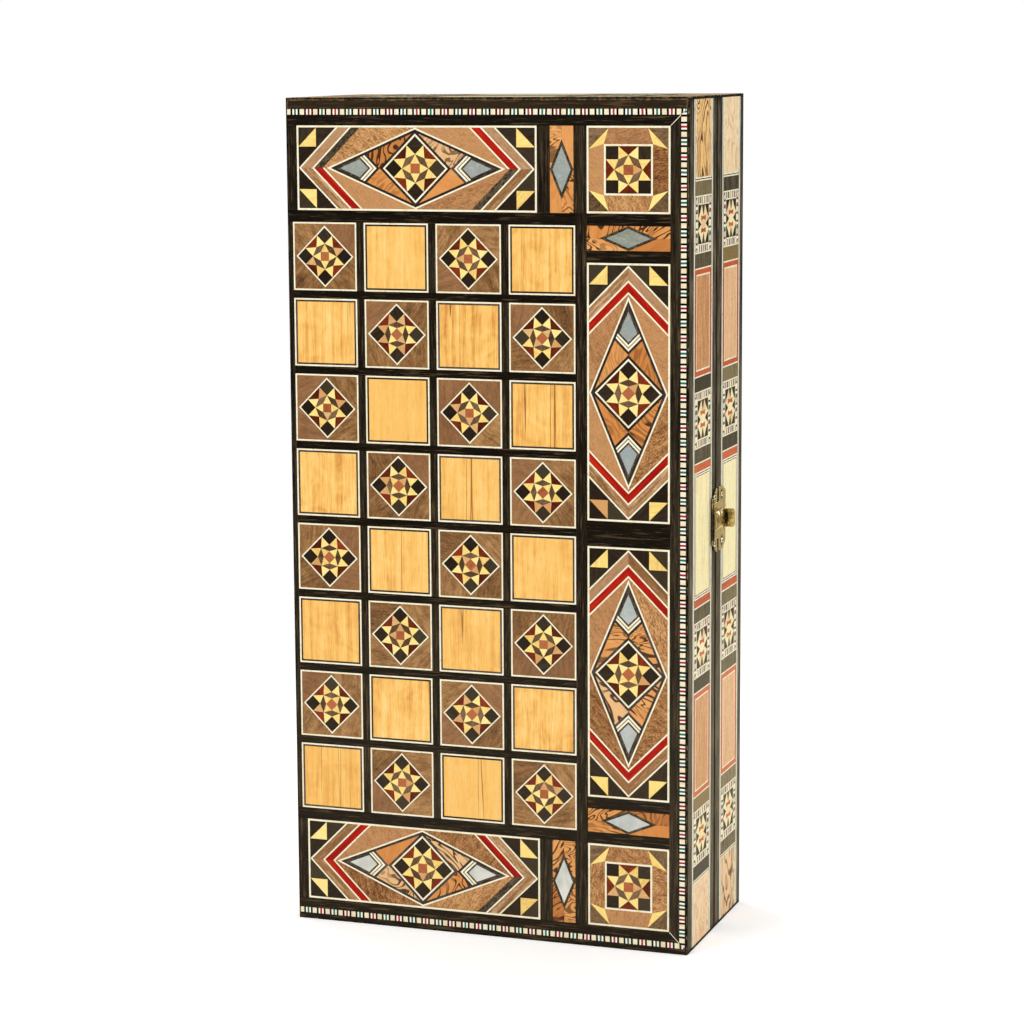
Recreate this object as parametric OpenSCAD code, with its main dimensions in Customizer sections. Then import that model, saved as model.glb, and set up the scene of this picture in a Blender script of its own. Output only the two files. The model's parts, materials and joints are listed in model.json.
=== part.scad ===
// Inlaid chess and backgammon board, folded shut and standing on one short end.
// X runs from the hinge side to the clasp side, Y from the front half to the back half, Z is up.
// The origin is under the middle of the whole object, on the face that it stands on.

/* [Chess squares] */
// Side of one square, with its bone outline
tile = 40.5; // [36:0.5:46]
// Width of the ebony strip between two squares
tile_gap = 4.7; // [3:0.1:7]
// Width of a fine inlaid line
line_w = 1.0; // [0.6:0.1:1.4]
// Gap between the point of a star square's diamond and the outline of the square
tip_gap = 0.95; // [0.2:0.05:3]
// Width of the bone diamond's line in a star square
diamond_w = 0.85; // [0.6:0.05:1.4]

/* [Border] */
// Width of the border panels
border_w = 49.8; // [44:0.2:56]
// Width of the ebony strips round the border panels
strip_w = 7.0; // [5:0.1:9]
// Width of the lozenge panels
pearl_w = 14.2; // [11:0.1:17]
// Gap between the two panels of the long border
mid_gap = 15.0; // [10:0.5:20]
// Width of the mosaic string
string_w = 3.4; // [2.6:0.1:4.2]
// Ebony between the border panels and the mosaic string
string_gap = 6.2; // [4:0.1:9]
// Ebony outside the string on the clasp side
side_margin = 1.3; // [1.2:0.1:4]
// Ebony outside the string at the two ends, on average
end_margin = 5.15; // [3.5:0.05:9]
// Ebony between the hinge edge and the first squares
hinge_margin = 3.5; // [2:0.1:6]
// How far the pattern sits below the middle of the board
pattern_drop = 1.45; // [0:0.05:2]
// Width of the pale line in the mitres of the ebony
mitre_w = 0.4; // [0.3:0.1:0.8]

/* [Panels of the border] */
// Outline of a border panel
outline_w = 1.2; // [0.8:0.1:1.6]
// Width of the light band in a long panel, along its axis
light_band = 7.0; // [5:0.1:8]
// Width of the coloured band in a long panel, along its axis
colour_band = 5.4; // [4:0.1:6]
// Gap between a pale half square and the first chevron line of a long panel
corner_gap = 1.3; // [0.4:0.1:4]
// Half length of the big lozenge in a long panel
lozenge_r = 56.0; // [52:0.5:60]
// Gap between the point of a long panel's diamond and the frame of the lozenge
diamond_gap = 0.8; // [0.4:0.1:3]
// Width of the bone diamond's line in a long panel
panel_diamond_w = 1.5; // [0.8:0.1:2]
// Half side of the bone square in a corner panel
corner_star_s = 14.6; // [13:0.1:16]
// Reach of the corner triangles in a corner panel
corner_reach = 12.0; // [10:0.1:14]
// Half length of the black lozenge in a lozenge panel
pearl_r = 17.2; // [14:0.1:20]
// Width of the black frame round the mother-of-pearl
pearl_frame = 1.5; // [1:0.1:2]

/* [Case] */
// Depth of one half of the case, up to the middle of the joint
half_d = 59.5; // [50:0.5:75]
// Gap between the two rims when the case is shut
rim_gap = 0.6; // [0.4:0.1:1]
// Thickness of the four walls of a half
wall_t = 10; // [8:0.5:13]
// Thickness of the board behind the marquetry
core_t = 5.5; // [4:0.5:9]
// Thickness of the marquetry on the playing face
sheet_t = 1.5; // [1:0.1:2.5]
// Solid wood left round the marquetry
lip_w = 1.0; // [0.8:0.1:1.2]
// Chamfer on the outer edges
arris = 0.6; // [0.3:0.1:0.8]
// Glue line between two inlaid pieces
glue_line = 0.04; // [0.02:0.01:0.08]

/* [Side bands] */
// Thickness of the inlaid bands on the sides
band_t = 1.2; // [0.8:0.1:2]
// Wood between the board and the band of the front half
front_rail = 3.5; // [2:0.1:7]
// Wood between the board and the band of the back half
back_rail = 0.5; // [0.3:0.1:4]
// Wood between the clasp nails and the nearer band
nail_rail = 1.1; // [0.5:0.1:3]
// How far the bands stop short of the corners
band_stop = 1.6; // [1.4:0.1:2.5]
// How far the middle of the band sits below the middle of the board
band_drop = 3.5; // [0:0.1:5]
// Bone line along each edge of the band
edge_line = 2.4; // [1:0.1:3]
// Half length of the pale middle panel
middle_half = 34.7; // [28:0.1:40]
// How much shorter than wide a star mosaic is
mosaic_trim = 1.0; // [0:0.1:3]
// Length of an ebony block
block_l = 8.2; // [6:0.1:10]
// Length of a red bar
bar_l = 4.5; // [3:0.1:6]
// Length of a framed walnut panel
framed_l = 61.4; // [50:0.2:66]
// Width of the red frame of a walnut panel
red_frame = 2.8; // [2:0.1:4]
// Height of the bottom band above the ground
band_lift = 0.2; // [0.1:0.05:0.4]

/* [Backgammon table] */
// Thickness of the inner floor veneer
floor_t = 1.0; // [0.6:0.1:2]
// Length of a point
point_l = 185; // [150:1:200]
// Gap between two points at their base
point_gap = 2.4; // [1:0.1:4]
// Clear floor between the points and the walls
point_margin = 3.0; // [2:0.1:8]
// Bone line round a point
point_line = 0.9; // [0.6:0.1:1.4]
// Gap between the rosette in the middle of the floor and the lozenge panels beside it
rosette_gap = 7; // [4:0.5:12]

/* [Hinges] */
// Length of a hinge
hinge_l = 50; // [36:1:64]
// Distance from the end of the board to the middle of a hinge
hinge_end = 105; // [70:1:150]
// Thickness of a hinge leaf
leaf_t = 1.2; // [0.8:0.1:1.6]
// Width of a hinge leaf on the rim
leaf_w = 8.6; // [7.5:0.1:9]
// Outer radius of the knuckles
knuckle_r = 2.2; // [1.8:0.1:2.6]
// Radius of the hinge pin
pin_r = 1.0; // [0.8:0.05:1.2]
// Radial clearance of a pin in its knuckles
pin_fit = 0.05; // [0.02:0.01:0.08]
// How far the hinge axis lies outside the wall
axis_out = 0.2; // [0.1:0.05:0.5]
// Gap between two knuckles, and between a knuckle and its notch
knuckle_gap = 0.4; // [0.3:0.05:0.6]
// Radius of a screw shank
screw_r = 1.1; // [0.8:0.1:1.3]
// Radius of a screw head
screw_head_r = 2.1; // [1.8:0.1:2.6]
// Length of a screw
screw_l = 10; // [7:0.5:14]
// Width of the slot in a screw head
slot_w = 0.5; // [0.3:0.05:0.8]

/* [Clasp] */
// Height of the clasp plates
plate_h = 38; // [36:0.5:46]
// Width of the front plate, without the eyes rolled at its outer edge
plate_w = 8.4; // [7.6:0.1:15]
// Width of the keeper plate on the back half
keeper_w = 15.2; // [12.5:0.1:16]
// How much a clasp plate draws in towards its two ends
plate_draw = 3.2; // [2:0.1:4]
// Radius of the outer corners of a clasp plate
plate_round = 2.0; // [1:0.1:2.6]
// Thickness of the clasp plates
plate_t = 1.2; // [0.8:0.1:1.4]
// Distance from the front plate to the middle of the joint
plate_gap = 0.8; // [0.4:0.1:2]
// Distance from the keeper plate to the middle of the joint
keeper_gap = 3.0; // [0.6:0.1:3.6]
// How far the clasp sits below the middle of the board, or above it where this is negative
clasp_drop = -0.5; // [-2:0.1:4]
// Height of the hasp at its pivot
hasp_h = 22; // [18:0.5:23]
// Height of the raised middle of the hasp, at its foot
hasp_band = 11.0; // [9.5:0.1:12]
// Height of the raised middle of the hasp, on top
hasp_top = 6.5; // [5.5:0.1:8]
// Thickness of the hasp
hasp_t = 0.8; // [0.7:0.1:1.1]
// How far the raised middle stands off the hasp's wings
hasp_rise = 1.6; // [1.3:0.1:3]
// How far the hasp reaches over the back half
hasp_reach = 9.5; // [8.5:0.1:11]
// Outer radius of the hasp's knuckle and of the eyes that hold it
hasp_knuckle_r = 1.0; // [0.9:0.05:1.6]
// Radius of the clasp pin
clasp_pin_r = 0.45; // [0.35:0.05:0.6]
// Length of one eye
eye_l = 2.6; // [2:0.1:3]
// How far the finger tab stands out
tab_out = 5.6; // [3:0.1:6]
// Radius of the corners of the finger tab
tab_round = 1.6; // [0.5:0.1:2.5]
// Radius of the lug that the hasp snaps over
lug_r = 2.2; // [1.6:0.1:2.3]
// Distance from the finger tab to the middle of the lug
lug_back = 3.2; // [2.6:0.1:3.6]
// Radius of the nail heads
nail_head_r = 1.5; // [1.2:0.1:1.8]
// Radius of the nail shanks
nail_r = 0.6; // [0.4:0.05:0.8]
// Length of the nails
nail_l = 8; // [5:0.5:9.5]
// Distance from the end of a clasp plate to its nail
nail_end = 5.0; // [3.5:0.1:5.5]
// Distance from the straight edge of a clasp plate to its nails
nail_in = 6.3; // [5:0.1:6.6]

/* [Hidden] */
$fn = 48;

// Overlap of a cutting shape past the face that it cuts
past = 1;
rows = 8;
columns = 4;
pitch = tile + tile_gap;
rows_l = rows * tile + (rows - 1) * tile_gap;
columns_l = columns * tile + (columns - 1) * tile_gap;

// The case takes its size from the squares and the border
case_h = rows_l + 2 * (strip_w + border_w + string_gap + string_w + end_margin);
border_u = hinge_margin + columns_l + strip_w;
case_w = border_u + border_w + string_gap + string_w + side_margin;
panel_t = core_t + sheet_t;
pattern_z = case_h / 2 - pattern_drop;
string_end = rows_l / 2 + strip_w + border_w + string_gap;

// Outer faces, with the overhang of hinge and clasp shared out so that the origin is in the middle
hinge_overhang = axis_out + knuckle_r;
hasp_clear = 0.2;
clasp_overhang = plate_t + hasp_clear + hasp_t + hasp_rise + tab_out;
shift_x = (hinge_overhang - clasp_overhang) / 2;
left = shift_x - case_w / 2;
right = shift_x + case_w / 2;

// Places of the panels, measured across the board from its hinge edge and up from its middle
panel_l = (rows_l - mid_gap) / 2 - strip_w - pearl_w;
panel_setback = 3.3;
long_panel_v = mid_gap / 2 + panel_l / 2;
end_panel_v = rows_l / 2 + strip_w + border_w / 2;
end_panel_u = hinge_margin + panel_setback + panel_l / 2;
border_mid_u = border_u + border_w / 2;
pearl_end_u = (end_panel_u + panel_l / 2 + border_u) / 2;
pearl_long_v = rows_l / 2 - pearl_w / 2;

// The star: the corner squares of an eight pointed star set in a square of half side one
star_a = 0.442;
star_t = star_a * sqrt(2);
star_c = 0.217;

// The flower of the side mosaics, in a square of half side one
petal_splay = 0.3;
petal_shoulder = 0.62;
petal_root = 0.45;
dart_apex = 0.42;
bow_low = 0.18;
bow_neck = 0.26;
bow_top = 0.40;

// The big lozenge of a long panel and what lies in it
panel_a = panel_l / 2 - outline_w;
panel_b = border_w / 2 - outline_w;
chevron_line = 1.4;
chevron_1 = chevron_line;
chevron_2 = chevron_1 + light_band;
chevron_3 = chevron_2 + chevron_line;
chevron_4 = chevron_3 + colour_band;
chevron_5 = chevron_4 + chevron_line;
lozenge_depth = lozenge_r * panel_b / norm([lozenge_r, panel_b]);
lozenge_k1 = 1 - line_w / lozenge_depth;
dark_frame = 1.4;
lozenge_k2 = 1 - (line_w + dark_frame) / lozenge_depth;
inner_r = lozenge_r * lozenge_k2;
inner_b = panel_b * lozenge_k2;
corner_cell = (panel_b - corner_gap) / 2;
panel_diamond_r = inner_b - diamond_gap;
quad_tip = panel_diamond_r + dark_frame * sqrt(2);
end_dark = 2.0;
end_bone = 1.6;
end_heart = 0.7;
end_1 = quad_tip + end_dark;
end_2 = end_1 + end_bone;
end_3 = end_2 + end_heart;
end_4 = end_3 + end_bone;
pearl_trim = 1.0;

// The side bands fill the walls between the boards and the clasp nails
front_nail_y = plate_gap + nail_in;
back_nail_y = keeper_gap + nail_in;
front_inset = panel_t + front_rail;
back_inset = panel_t + back_rail;
taken_d = max(front_inset + front_nail_y, back_inset + back_nail_y) + nail_r + nail_rail;
band_w = half_d - taken_d;

// Fine lines of the side bands
fine_line = 0.9;
fine_dark = 0.5;
gap_line = 0.6;
strip_v = band_w / 2 - edge_line - gap_line;
frame_ring = 2 * (fine_line + fine_dark);
side_bone = 1.5;
mosaic_string_w = 3.6;
mosaic_l = 2 * strip_v - mosaic_trim;

// Distances along a side band, from its middle outwards
bar_u = middle_half + frame_ring;
block_1u = bar_u + bar_l + fine_line;
mosaic_1u = block_1u + block_l;
block_2u = mosaic_1u + mosaic_l;
framed_u = block_2u + block_l + fine_line;
block_3u = framed_u + framed_l + fine_line;
mosaic_2u = block_3u + block_l;
block_4u = mosaic_2u + mosaic_l;
last_long_u = block_4u + block_l;
last_short_u = block_2u + block_l;

front_band_y = -half_d + front_inset + band_w / 2;
back_band_y = half_d - back_inset - band_w / 2;

floor_y = half_d - panel_t - floor_t;
inner_w = case_w - 2 * wall_t;
inner_h = case_h - 2 * wall_t;
points = 6;
point_pitch = (inner_w - 2 * point_margin) / points;
point_half = (point_pitch - point_gap) / 2;

hinge_x = left - axis_out;
hinge_zs = [hinge_end, case_h - hinge_end];
knuckles = 5;
knuckle_l = hinge_l / knuckles;
leaf_fit = 0.05;
leaf_start = knuckle_r + knuckle_gap;
screw_x = left + (leaf_start + leaf_w) / 2;
screw_reach = 0.36;
screw_us = [-screw_reach * hinge_l, 0, screw_reach * hinge_l];
screw_fit = 0.03;
screw_cone = 1.1;
screw_tip = 2;
slot_t = 0.5;

clasp_z = case_h / 2 - clasp_drop;
plate_face = right + plate_t;
plate_shoulder = 0.4;
plate_flat = hasp_h + knuckle_gap + 2 * (eye_l + plate_shoulder);
plate_fit = 0.2;
hasp_pivot_y = -plate_gap - plate_w - plate_fit - hasp_knuckle_r;
hasp_face = plate_face + hasp_clear;
pivot_x = right + plate_fit + hasp_knuckle_r;
eye_z = (hasp_h + knuckle_gap + eye_l) / 2;
root_l = 0.6;
ramp_l = 6.5;
ramp_y = hasp_pivot_y + hasp_knuckle_r + root_l + ramp_l;
wing_past = 0.3;
wing_taper = 1.5;
wing_step = 1.2;
nail_z = plate_h / 2 - nail_end;
lug_y = hasp_reach - hasp_t - lug_back;
lug_room = 0.5;
lug_h = hasp_rise - lug_room;
lug_foot = 0.6;
// Overlap of two shapes that are one piece
merge = 0.1;

BLACK = [0.10, 0.08, 0.07];
EBONY = [0.13, 0.11, 0.09];
MAPLE = [0.86, 0.66, 0.36];
WALNUT = [0.55, 0.36, 0.22];
BONE = [0.95, 0.92, 0.80];
LEMON = [0.93, 0.83, 0.52];
RED = [0.50, 0.14, 0.07];
HEART = [0.33, 0.22, 0.16];
PEARL = [0.72, 0.76, 0.77];
OLIVE = [0.86, 0.56, 0.28];
LIGHT = [0.70, 0.52, 0.36];
STRING = [0.85, 0.80, 0.68];
BRASS = [0.66, 0.54, 0.30];

// Plane geometry of the pieces

function unit(v) = v / norm(v);
function left_of(v) = [-v[1], v[0]];
function turned(p, q, k = 1) = [
    for (v = p) k * [v[0] * cos(q) - v[1] * sin(q), v[0] * sin(q) + v[1] * cos(q)]
];
function moved(p, d) = [for (v = p) v + d];
function flipped(p, su, sv) = [for (v = p) [su * v[0], sv * v[1]]];
function box_of(u, v) = [[-u, -v], [u, -v], [u, v], [-u, v]];
function span_of(u0, u1, v0, v1) = [[u0, v0], [u1, v0], [u1, v1], [u0, v1]];
function lozenge_of(u, v) = [[u, 0], [0, v], [-u, 0], [0, -v]];
function total(a, i = 0) = i < len(a) ? a[i] + total(a, i + 1) : 0;
function turn_of(p) = sign(total([
    for (i = [0 : len(p) - 1])
        let (b = p[(i + 1) % len(p)]) p[i][0] * b[1] - b[0] * p[i][1]
]));
// A corner moved square to both of its edges by g
function trim_corner(a, b, c, g) =
    let (n1 = left_of(unit(b - a)), n2 = left_of(unit(c - b))) b + g * (n1 + n2) / (1 + n1 * n2);
// An outline drawn in by g on every edge
function trimmed(p, g) =
    let (k = g * turn_of(p), n = len(p))
        [for (i = [0 : n - 1]) trim_corner(p[(i + n - 1) % n], p[i], p[(i + 1) % n], k)];

// One flat piece of wood or bone, drawn in by half of the glue line
module piece(p, t) {
    linear_extrude(t) polygon(trimmed(p, glue_line / 2));
}

// A closed line or frame between two outlines
module ring(outer, inner, t) {
    linear_extrude(t) difference() {
        polygon(trimmed(outer, glue_line / 2));
        polygon(trimmed(inner, -glue_line / 2));
    }
}

// The eight pointed star in a square of half side s
// quarter is 45 where the small inner star points at the corner squares
module star(s, wood, quarter, t) {
    for (q = [0 : 90 : 270]) {
        if (wood == "ebony")
            piece(turned(span_of(star_a, 1, star_a, 1), q, s), t);
        if (wood == "red")
            piece(turned([[-star_a, 1], [0, star_t], [star_a, 1]], q, s), t);
        if (wood == "lemon") {
            piece(turned([[-star_a, 1], [-star_a, star_a], [0, star_t]], q, s), t);
            piece(turned([[star_a, 1], [0, star_t], [star_a, star_a]], q, s), t);
            piece(turned([[-star_c, star_c], [star_c, star_c], [0, star_t]], q + quarter, s), t);
        }
        if (wood == "heart")
            piece(turned([
                [star_c, star_c], [star_t, 0], [star_a, star_a], [0, star_t]
            ], q + quarter, s), t);
    }
    if (wood == "heart")
        piece(turned(box_of(star_c, star_c), quarter, s), t);
}

// Chess squares

module light_square(wood) {
    h = tile / 2;
    if (wood == "bone")
        ring(box_of(h, h), box_of(h - line_w, h - line_w), sheet_t);
    if (wood == "dark")
        ring(box_of(h - line_w, h - line_w), box_of(h - 2 * line_w, h - 2 * line_w), sheet_t);
    if (wood == "maple")
        piece(box_of(h - 2 * line_w, h - 2 * line_w), sheet_t);
}

module star_square(wood, quarter) {
    h = tile / 2 - line_w;
    e = h - tip_gap;
    s = e / sqrt(2) - diamond_w;
    if (wood == "bone") {
        ring(box_of(h + line_w, h + line_w), box_of(h, h), sheet_t);
        ring(lozenge_of(e, e), turned(box_of(s, s), 45), sheet_t);
    }
    if (wood == "walnut")
        for (q = [0 : 90 : 270])
            piece(turned([[e, 0], [h, 0], [h, h], [0, h], [0, e]], q), sheet_t);
    rotate(45)
        star(s, wood, quarter, sheet_t);
}

// The two ways of turning the inner star alternate from both ends towards the middle
function inner_turn(j) = min(j, rows - 1 - j) % 2 == 0 ? 45 : 0;

module squares(wood, parity) {
    for (i = [0 : columns - 1], j = [0 : rows - 1])
        translate([
            left + hinge_margin + tile / 2 + i * pitch,
            pattern_z + rows_l / 2 - tile / 2 - j * pitch
        ])
            if ((i + j + parity) % 2 == 0)
                star_square(wood, inner_turn(j));
            else
                light_square(wood);
}

// Long border panel, drawn lying along u

// Where an arm at 45 degrees that starts at -a on the axis meets the inner lozenge
function arm_end(a) =
    let (u = -(a + inner_b) / (1 + inner_b / inner_r)) [u, -u - a];
// A line bent at 45 degrees across the end of the inner lozenge
function bent_line(a, b) =
    let (p = arm_end(a), q = arm_end(b))
        [[-a, 0], p, q, [-b, 0], [q[0], -q[1]], [p[0], -p[1]]];

// The lozenge lies over the field round it, which is cut back wherever the lozenge reaches it
module field_piece(p) {
    linear_extrude(sheet_t) difference() {
        polygon(trimmed(p, glue_line / 2));
        polygon(trimmed(lozenge_of(lozenge_r, panel_b), -glue_line / 2));
    }
}

// Up to two coloured bands of a panel are dark, at opposite corners, and the others are red
module long_panel(wood, quarter, darks) {
    a = panel_a;
    b = panel_b;
    c = corner_cell;
    if (wood == "bone") {
        ring(box_of(a + outline_w, b + outline_w), box_of(a, b), sheet_t);
        ring(lozenge_of(lozenge_r, b), lozenge_of(lozenge_r * lozenge_k1, b * lozenge_k1), sheet_t);
        ring(
            lozenge_of(panel_diamond_r, panel_diamond_r),
            lozenge_of(panel_diamond_r - panel_diamond_w, panel_diamond_r - panel_diamond_w),
            sheet_t
        );
    }
    if (wood == "dark") {
        ring(
            lozenge_of(lozenge_r * lozenge_k1, b * lozenge_k1),
            lozenge_of(inner_r, inner_b),
            sheet_t
        );
        linear_extrude(sheet_t) intersection() {
            polygon(trimmed(lozenge_of(inner_r, inner_b), glue_line / 2));
            difference() {
                polygon(trimmed(lozenge_of(quad_tip, quad_tip), glue_line / 2));
                polygon(trimmed(lozenge_of(panel_diamond_r, panel_diamond_r), -glue_line / 2));
            }
        }
    }
    for (su = [-1, 1]) {
        if (wood == "bone") {
            piece(flipped(bent_line(end_1, end_2), su, 1), sheet_t);
            piece(flipped(bent_line(end_3, end_4), su, 1), sheet_t);
        }
        if (wood == "heart")
            piece(flipped(bent_line(end_2, end_3), su, 1), sheet_t);
        if (wood == "dark")
            piece(flipped(bent_line(quad_tip + glue_line, end_1), su, 1), sheet_t);
        pearl_cell = flipped(
            [[-inner_r, 0], [arm_end(end_4)[0], -arm_end(end_4)[1]], [-end_4, 0], arm_end(end_4)],
            su, 1
        );
        if (wood == "ebony")
            ring(pearl_cell, trimmed(pearl_cell, pearl_trim), sheet_t);
        if (wood == "pearl")
            piece(trimmed(pearl_cell, pearl_trim), sheet_t);
        for (sv = [-1, 1]) {
            dark = su == sv && darks > (su == 1 ? 1 : 0);
            field_u = dark ? chevron_4 : chevron_5;
            if (wood == "bone") {
                field_piece(flipped(arm(0, chevron_1), su, sv));
                field_piece(flipped(arm(chevron_2, chevron_3), su, sv));
                if (!dark)
                    field_piece(flipped(arm(chevron_4, chevron_5), su, sv));
            }
            if (wood == "light")
                field_piece(flipped(arm(chevron_1, chevron_2), su, sv));
            if ((wood == "red" && !dark) || (wood == "ebony" && dark))
                field_piece(flipped(arm(chevron_3, chevron_4), su, sv));
            if (wood == "walnut")
                field_piece(flipped([
                    [-a + field_u, 0], [0, 0], [0, b], [-a + field_u + b, b]
                ], su, sv));
            if (wood == "ebony") {
                piece(flipped([[-a, b], [-a, b - c], [-a + c, b]], su, sv), sheet_t);
                piece(flipped([[-a + c, b], [-a + c, c], [-a + b, b]], su, sv), sheet_t);
                piece(flipped([[-a, 0], [-a + c, c], [-a + c, b - c], [-a, b - c]], su, sv), sheet_t);
            }
            if (wood == "lemon")
                piece(flipped([[-a + c, b], [-a, b - c], [-a + c, b - c]], su, sv), sheet_t);
            if (wood == "olive")
                piece(flipped([[-quad_tip, 0], quad_top(), arm_end(quad_tip)], su, sv), sheet_t);
        }
    }
    rotate(45)
        star((panel_diamond_r - panel_diamond_w) / sqrt(2), wood, quarter, sheet_t);
}
// One arm of a chevron at the end of the panel, between two distances along the axis
function arm(u0, u1) = [
    [-panel_a + u0, 0], [-panel_a + u1, 0],
    [-panel_a + u1 + panel_b, panel_b], [-panel_a + u0 + panel_b, panel_b]
];
// Where the dark diamond meets the inner lozenge
function quad_top() =
    let (u = (inner_b - quad_tip) / (1 - inner_b / inner_r)) [u, u + quad_tip];

// Corner panel

module corner_panel(wood, t) {
    o = border_w / 2;
    h = o - outline_w;
    s = corner_star_s;
    r = h - corner_reach;
    if (wood == "bone") {
        ring(box_of(o, o), box_of(h, h), t);
        ring(box_of(s, s), box_of(s - outline_w, s - outline_w), t);
    }
    for (q = [0 : 90 : 270]) {
        if (wood == "walnut") {
            piece(turned([[-s, s], [s, s], [r, h], [-r, h]], q), t);
            piece(turned([[h, h], [r, h], [h, r]], q), t);
        }
        if (wood == "lemon")
            piece(turned([[s, s], [h, r], [r, h]], q), t);
    }
    star(s - outline_w, wood, 0, t);
}

// Lozenge panel, drawn lying along u

module pearl_panel(wood, t) {
    a = border_w / 2;
    b = pearl_w / 2;
    r = pearl_r;
    k = 1 - pearl_frame * norm([r, b]) / (r * b);
    if (wood == "ebony")
        ring(lozenge_of(r, b), lozenge_of(r * k, b * k), t);
    if (wood == "pearl")
        piece(lozenge_of(r * k, b * k), t);
    if (wood == "olive")
        for (su = [-1, 1], sv = [-1, 1])
            piece(flipped([[a, 0], [a, b], [0, b], [r, 0]], su, sv), t);
}

// The mosaic string runs along three edges and is mitred at the clasp side

module string_strips() {
    w = string_w;
    u0 = left + lip_w;
    u1 = right - side_margin;
    v1 = pattern_z + string_end + w;
    v0 = pattern_z - string_end - w;
    piece([[u0, v1 - w], [u1 - w, v1 - w], [u1, v1], [u0, v1]], sheet_t);
    piece([[u0, v0], [u1, v0], [u1 - w, v0 + w], [u0, v0 + w]], sheet_t);
    piece([[u1 - w, v0 + w], [u1, v0], [u1, v1], [u1 - w, v1 - w]], sheet_t);
}

// The line in a mitre of the ebony, from the corner panel to the string, made longer by g at both ends
function mitre_of(sv, g) =
    let (
        p = [left + border_mid_u + border_w / 2, pattern_z + sv * (end_panel_v + border_w / 2)],
        q = [right - side_margin - string_w, pattern_z + sv * string_end],
        d = unit(q - p),
        n = left_of(d) * mitre_w / 2
    )
        [p - g * d + n, p - g * d - n, q + g * d - n, q + g * d + n];

module mitre_lines() {
    for (sv = [-1, 1])
        piece(mitre_of(sv, -mitre_w / 2 - glue_line), sheet_t);
}

// Places of the motifs on the playing face

module at_end_panels() {
    for (sv = [-1, 1])
        translate([left + end_panel_u, pattern_z + sv * end_panel_v])
            children();
}
module at_long_panels() {
    for (sv = [-1, 1])
        translate([left + border_mid_u, pattern_z + sv * long_panel_v])
            rotate(90)
                children();
}
module at_corner_panels() {
    for (sv = [-1, 1])
        translate([left + border_mid_u, pattern_z + sv * end_panel_v])
            children();
}
module at_pearl_panels() {
    for (sv = [-1, 1]) {
        translate([left + pearl_end_u, pattern_z + sv * end_panel_v])
            rotate(90)
                children();
        translate([left + border_mid_u, pattern_z + sv * pearl_long_v])
            children();
    }
}

module face_inlay(wood, parity) {
    squares(wood, parity);
    translate([left + end_panel_u, pattern_z + end_panel_v])
        long_panel(wood, 45, 2);
    translate([left + end_panel_u, pattern_z - end_panel_v])
        long_panel(wood, 45, 1);
    at_long_panels()
        long_panel(wood, 0, 0);
    at_corner_panels()
        corner_panel(wood, sheet_t);
    at_pearl_panels()
        pearl_panel(wood, sheet_t);
    if (wood == "string")
        string_strips();
    if (wood == "bone")
        mitre_lines();
}

// The ebony sheet, cut through for every motif
module ebony_sheet() {
    linear_extrude(sheet_t) difference() {
        translate([left + lip_w, lip_w])
            square([case_w - 2 * lip_w, case_h - 2 * lip_w]);
        for (i = [0 : columns - 1], j = [0 : rows - 1])
            translate([left + hinge_margin + i * pitch, pattern_z - rows_l / 2 + j * pitch])
                square(tile);
        at_end_panels()
            square([panel_l, border_w], center = true);
        at_long_panels()
            square([panel_l, border_w], center = true);
        at_corner_panels()
            square(border_w, center = true);
        at_pearl_panels()
            square([border_w, pearl_w], center = true);
        for (sv = [-1, 1])
            polygon(trimmed(mitre_of(sv, mitre_w), -glue_line / 2));
        difference() {
            translate([left, pattern_z - string_end - string_w])
                square([case_w - side_margin, 2 * (string_end + string_w)]);
            translate([left - past, pattern_z - string_end])
                square([case_w - side_margin - string_w + past, 2 * string_end]);
        }
    }
}

// Side bands, drawn lying along u with their middle at the origin

module flower(wood) {
    s = (mosaic_l / 2 - 2 * fine_line - mosaic_string_w);
    for (q = [0, 180]) {
        if (wood == "red")
            piece(turned([
                [-petal_root, petal_root], [-dart_apex, bow_low], [0, bow_neck],
                [dart_apex, bow_low], [petal_root, petal_root], [0, bow_top]
            ], q, s), band_t);
        for (m = [-1, 1]) {
            if (wood == "lemon") {
                piece(turned(flipped([
                    [dart_apex, 0], [1, petal_splay], [petal_shoulder, petal_shoulder],
                    [petal_root, petal_root], [dart_apex, bow_low]
                ], 1, m), q, s), band_t);
                piece(turned(flipped([
                    [0, bow_top], [petal_splay, 1], [petal_shoulder, petal_shoulder],
                    [petal_root, petal_root]
                ], m, 1), q, s), band_t);
            }
            if (wood == "ebony")
                piece(turned(flipped([
                    [1, 1], [petal_splay, 1], [petal_shoulder, petal_shoulder], [1, petal_splay]
                ], 1, m), q, s), band_t);
        }
        if (wood == "ebony")
            piece(turned([[dart_apex, 0], [1, -petal_splay], [1, petal_splay]], q, s), band_t);
        if (wood == "heart")
            piece(turned([[0, bow_top], [petal_splay, 1], [-petal_splay, 1]], q, s), band_t);
    }
    if (wood == "lemon")
        piece([
            for (v = [
                [dart_apex, -bow_low], [dart_apex, bow_low], [0, bow_neck],
                [-dart_apex, bow_low], [-dart_apex, -bow_low], [0, -bow_neck]
            ]) s * v
        ], band_t);
}

module mosaic(wood) {
    a = mosaic_l / 2;
    b = strip_v;
    a1 = a - fine_line;
    b1 = b - fine_line;
    a2 = a1 - mosaic_string_w;
    a3 = a2 - fine_line;
    if (wood == "bone") {
        ring(box_of(a, b), box_of(a1, b1), band_t);
        ring(box_of(a2, a2), box_of(a3, a3), band_t);
    }
    if (wood == "string")
        for (k = [-1, 1]) {
            piece(flipped([[-a1, b1], [-a2, a2], [a2, a2], [a1, b1]], 1, k), band_t);
            piece(flipped([[a1, b1], [a2, a2], [a2, -a2], [a1, -b1]], k, 1), band_t);
        }
    rotate(90)
        flower(wood);
}

module cross_piece(u0, u1) {
    piece(span_of(u0, u1, -strip_v, strip_v), band_t);
}

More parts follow.
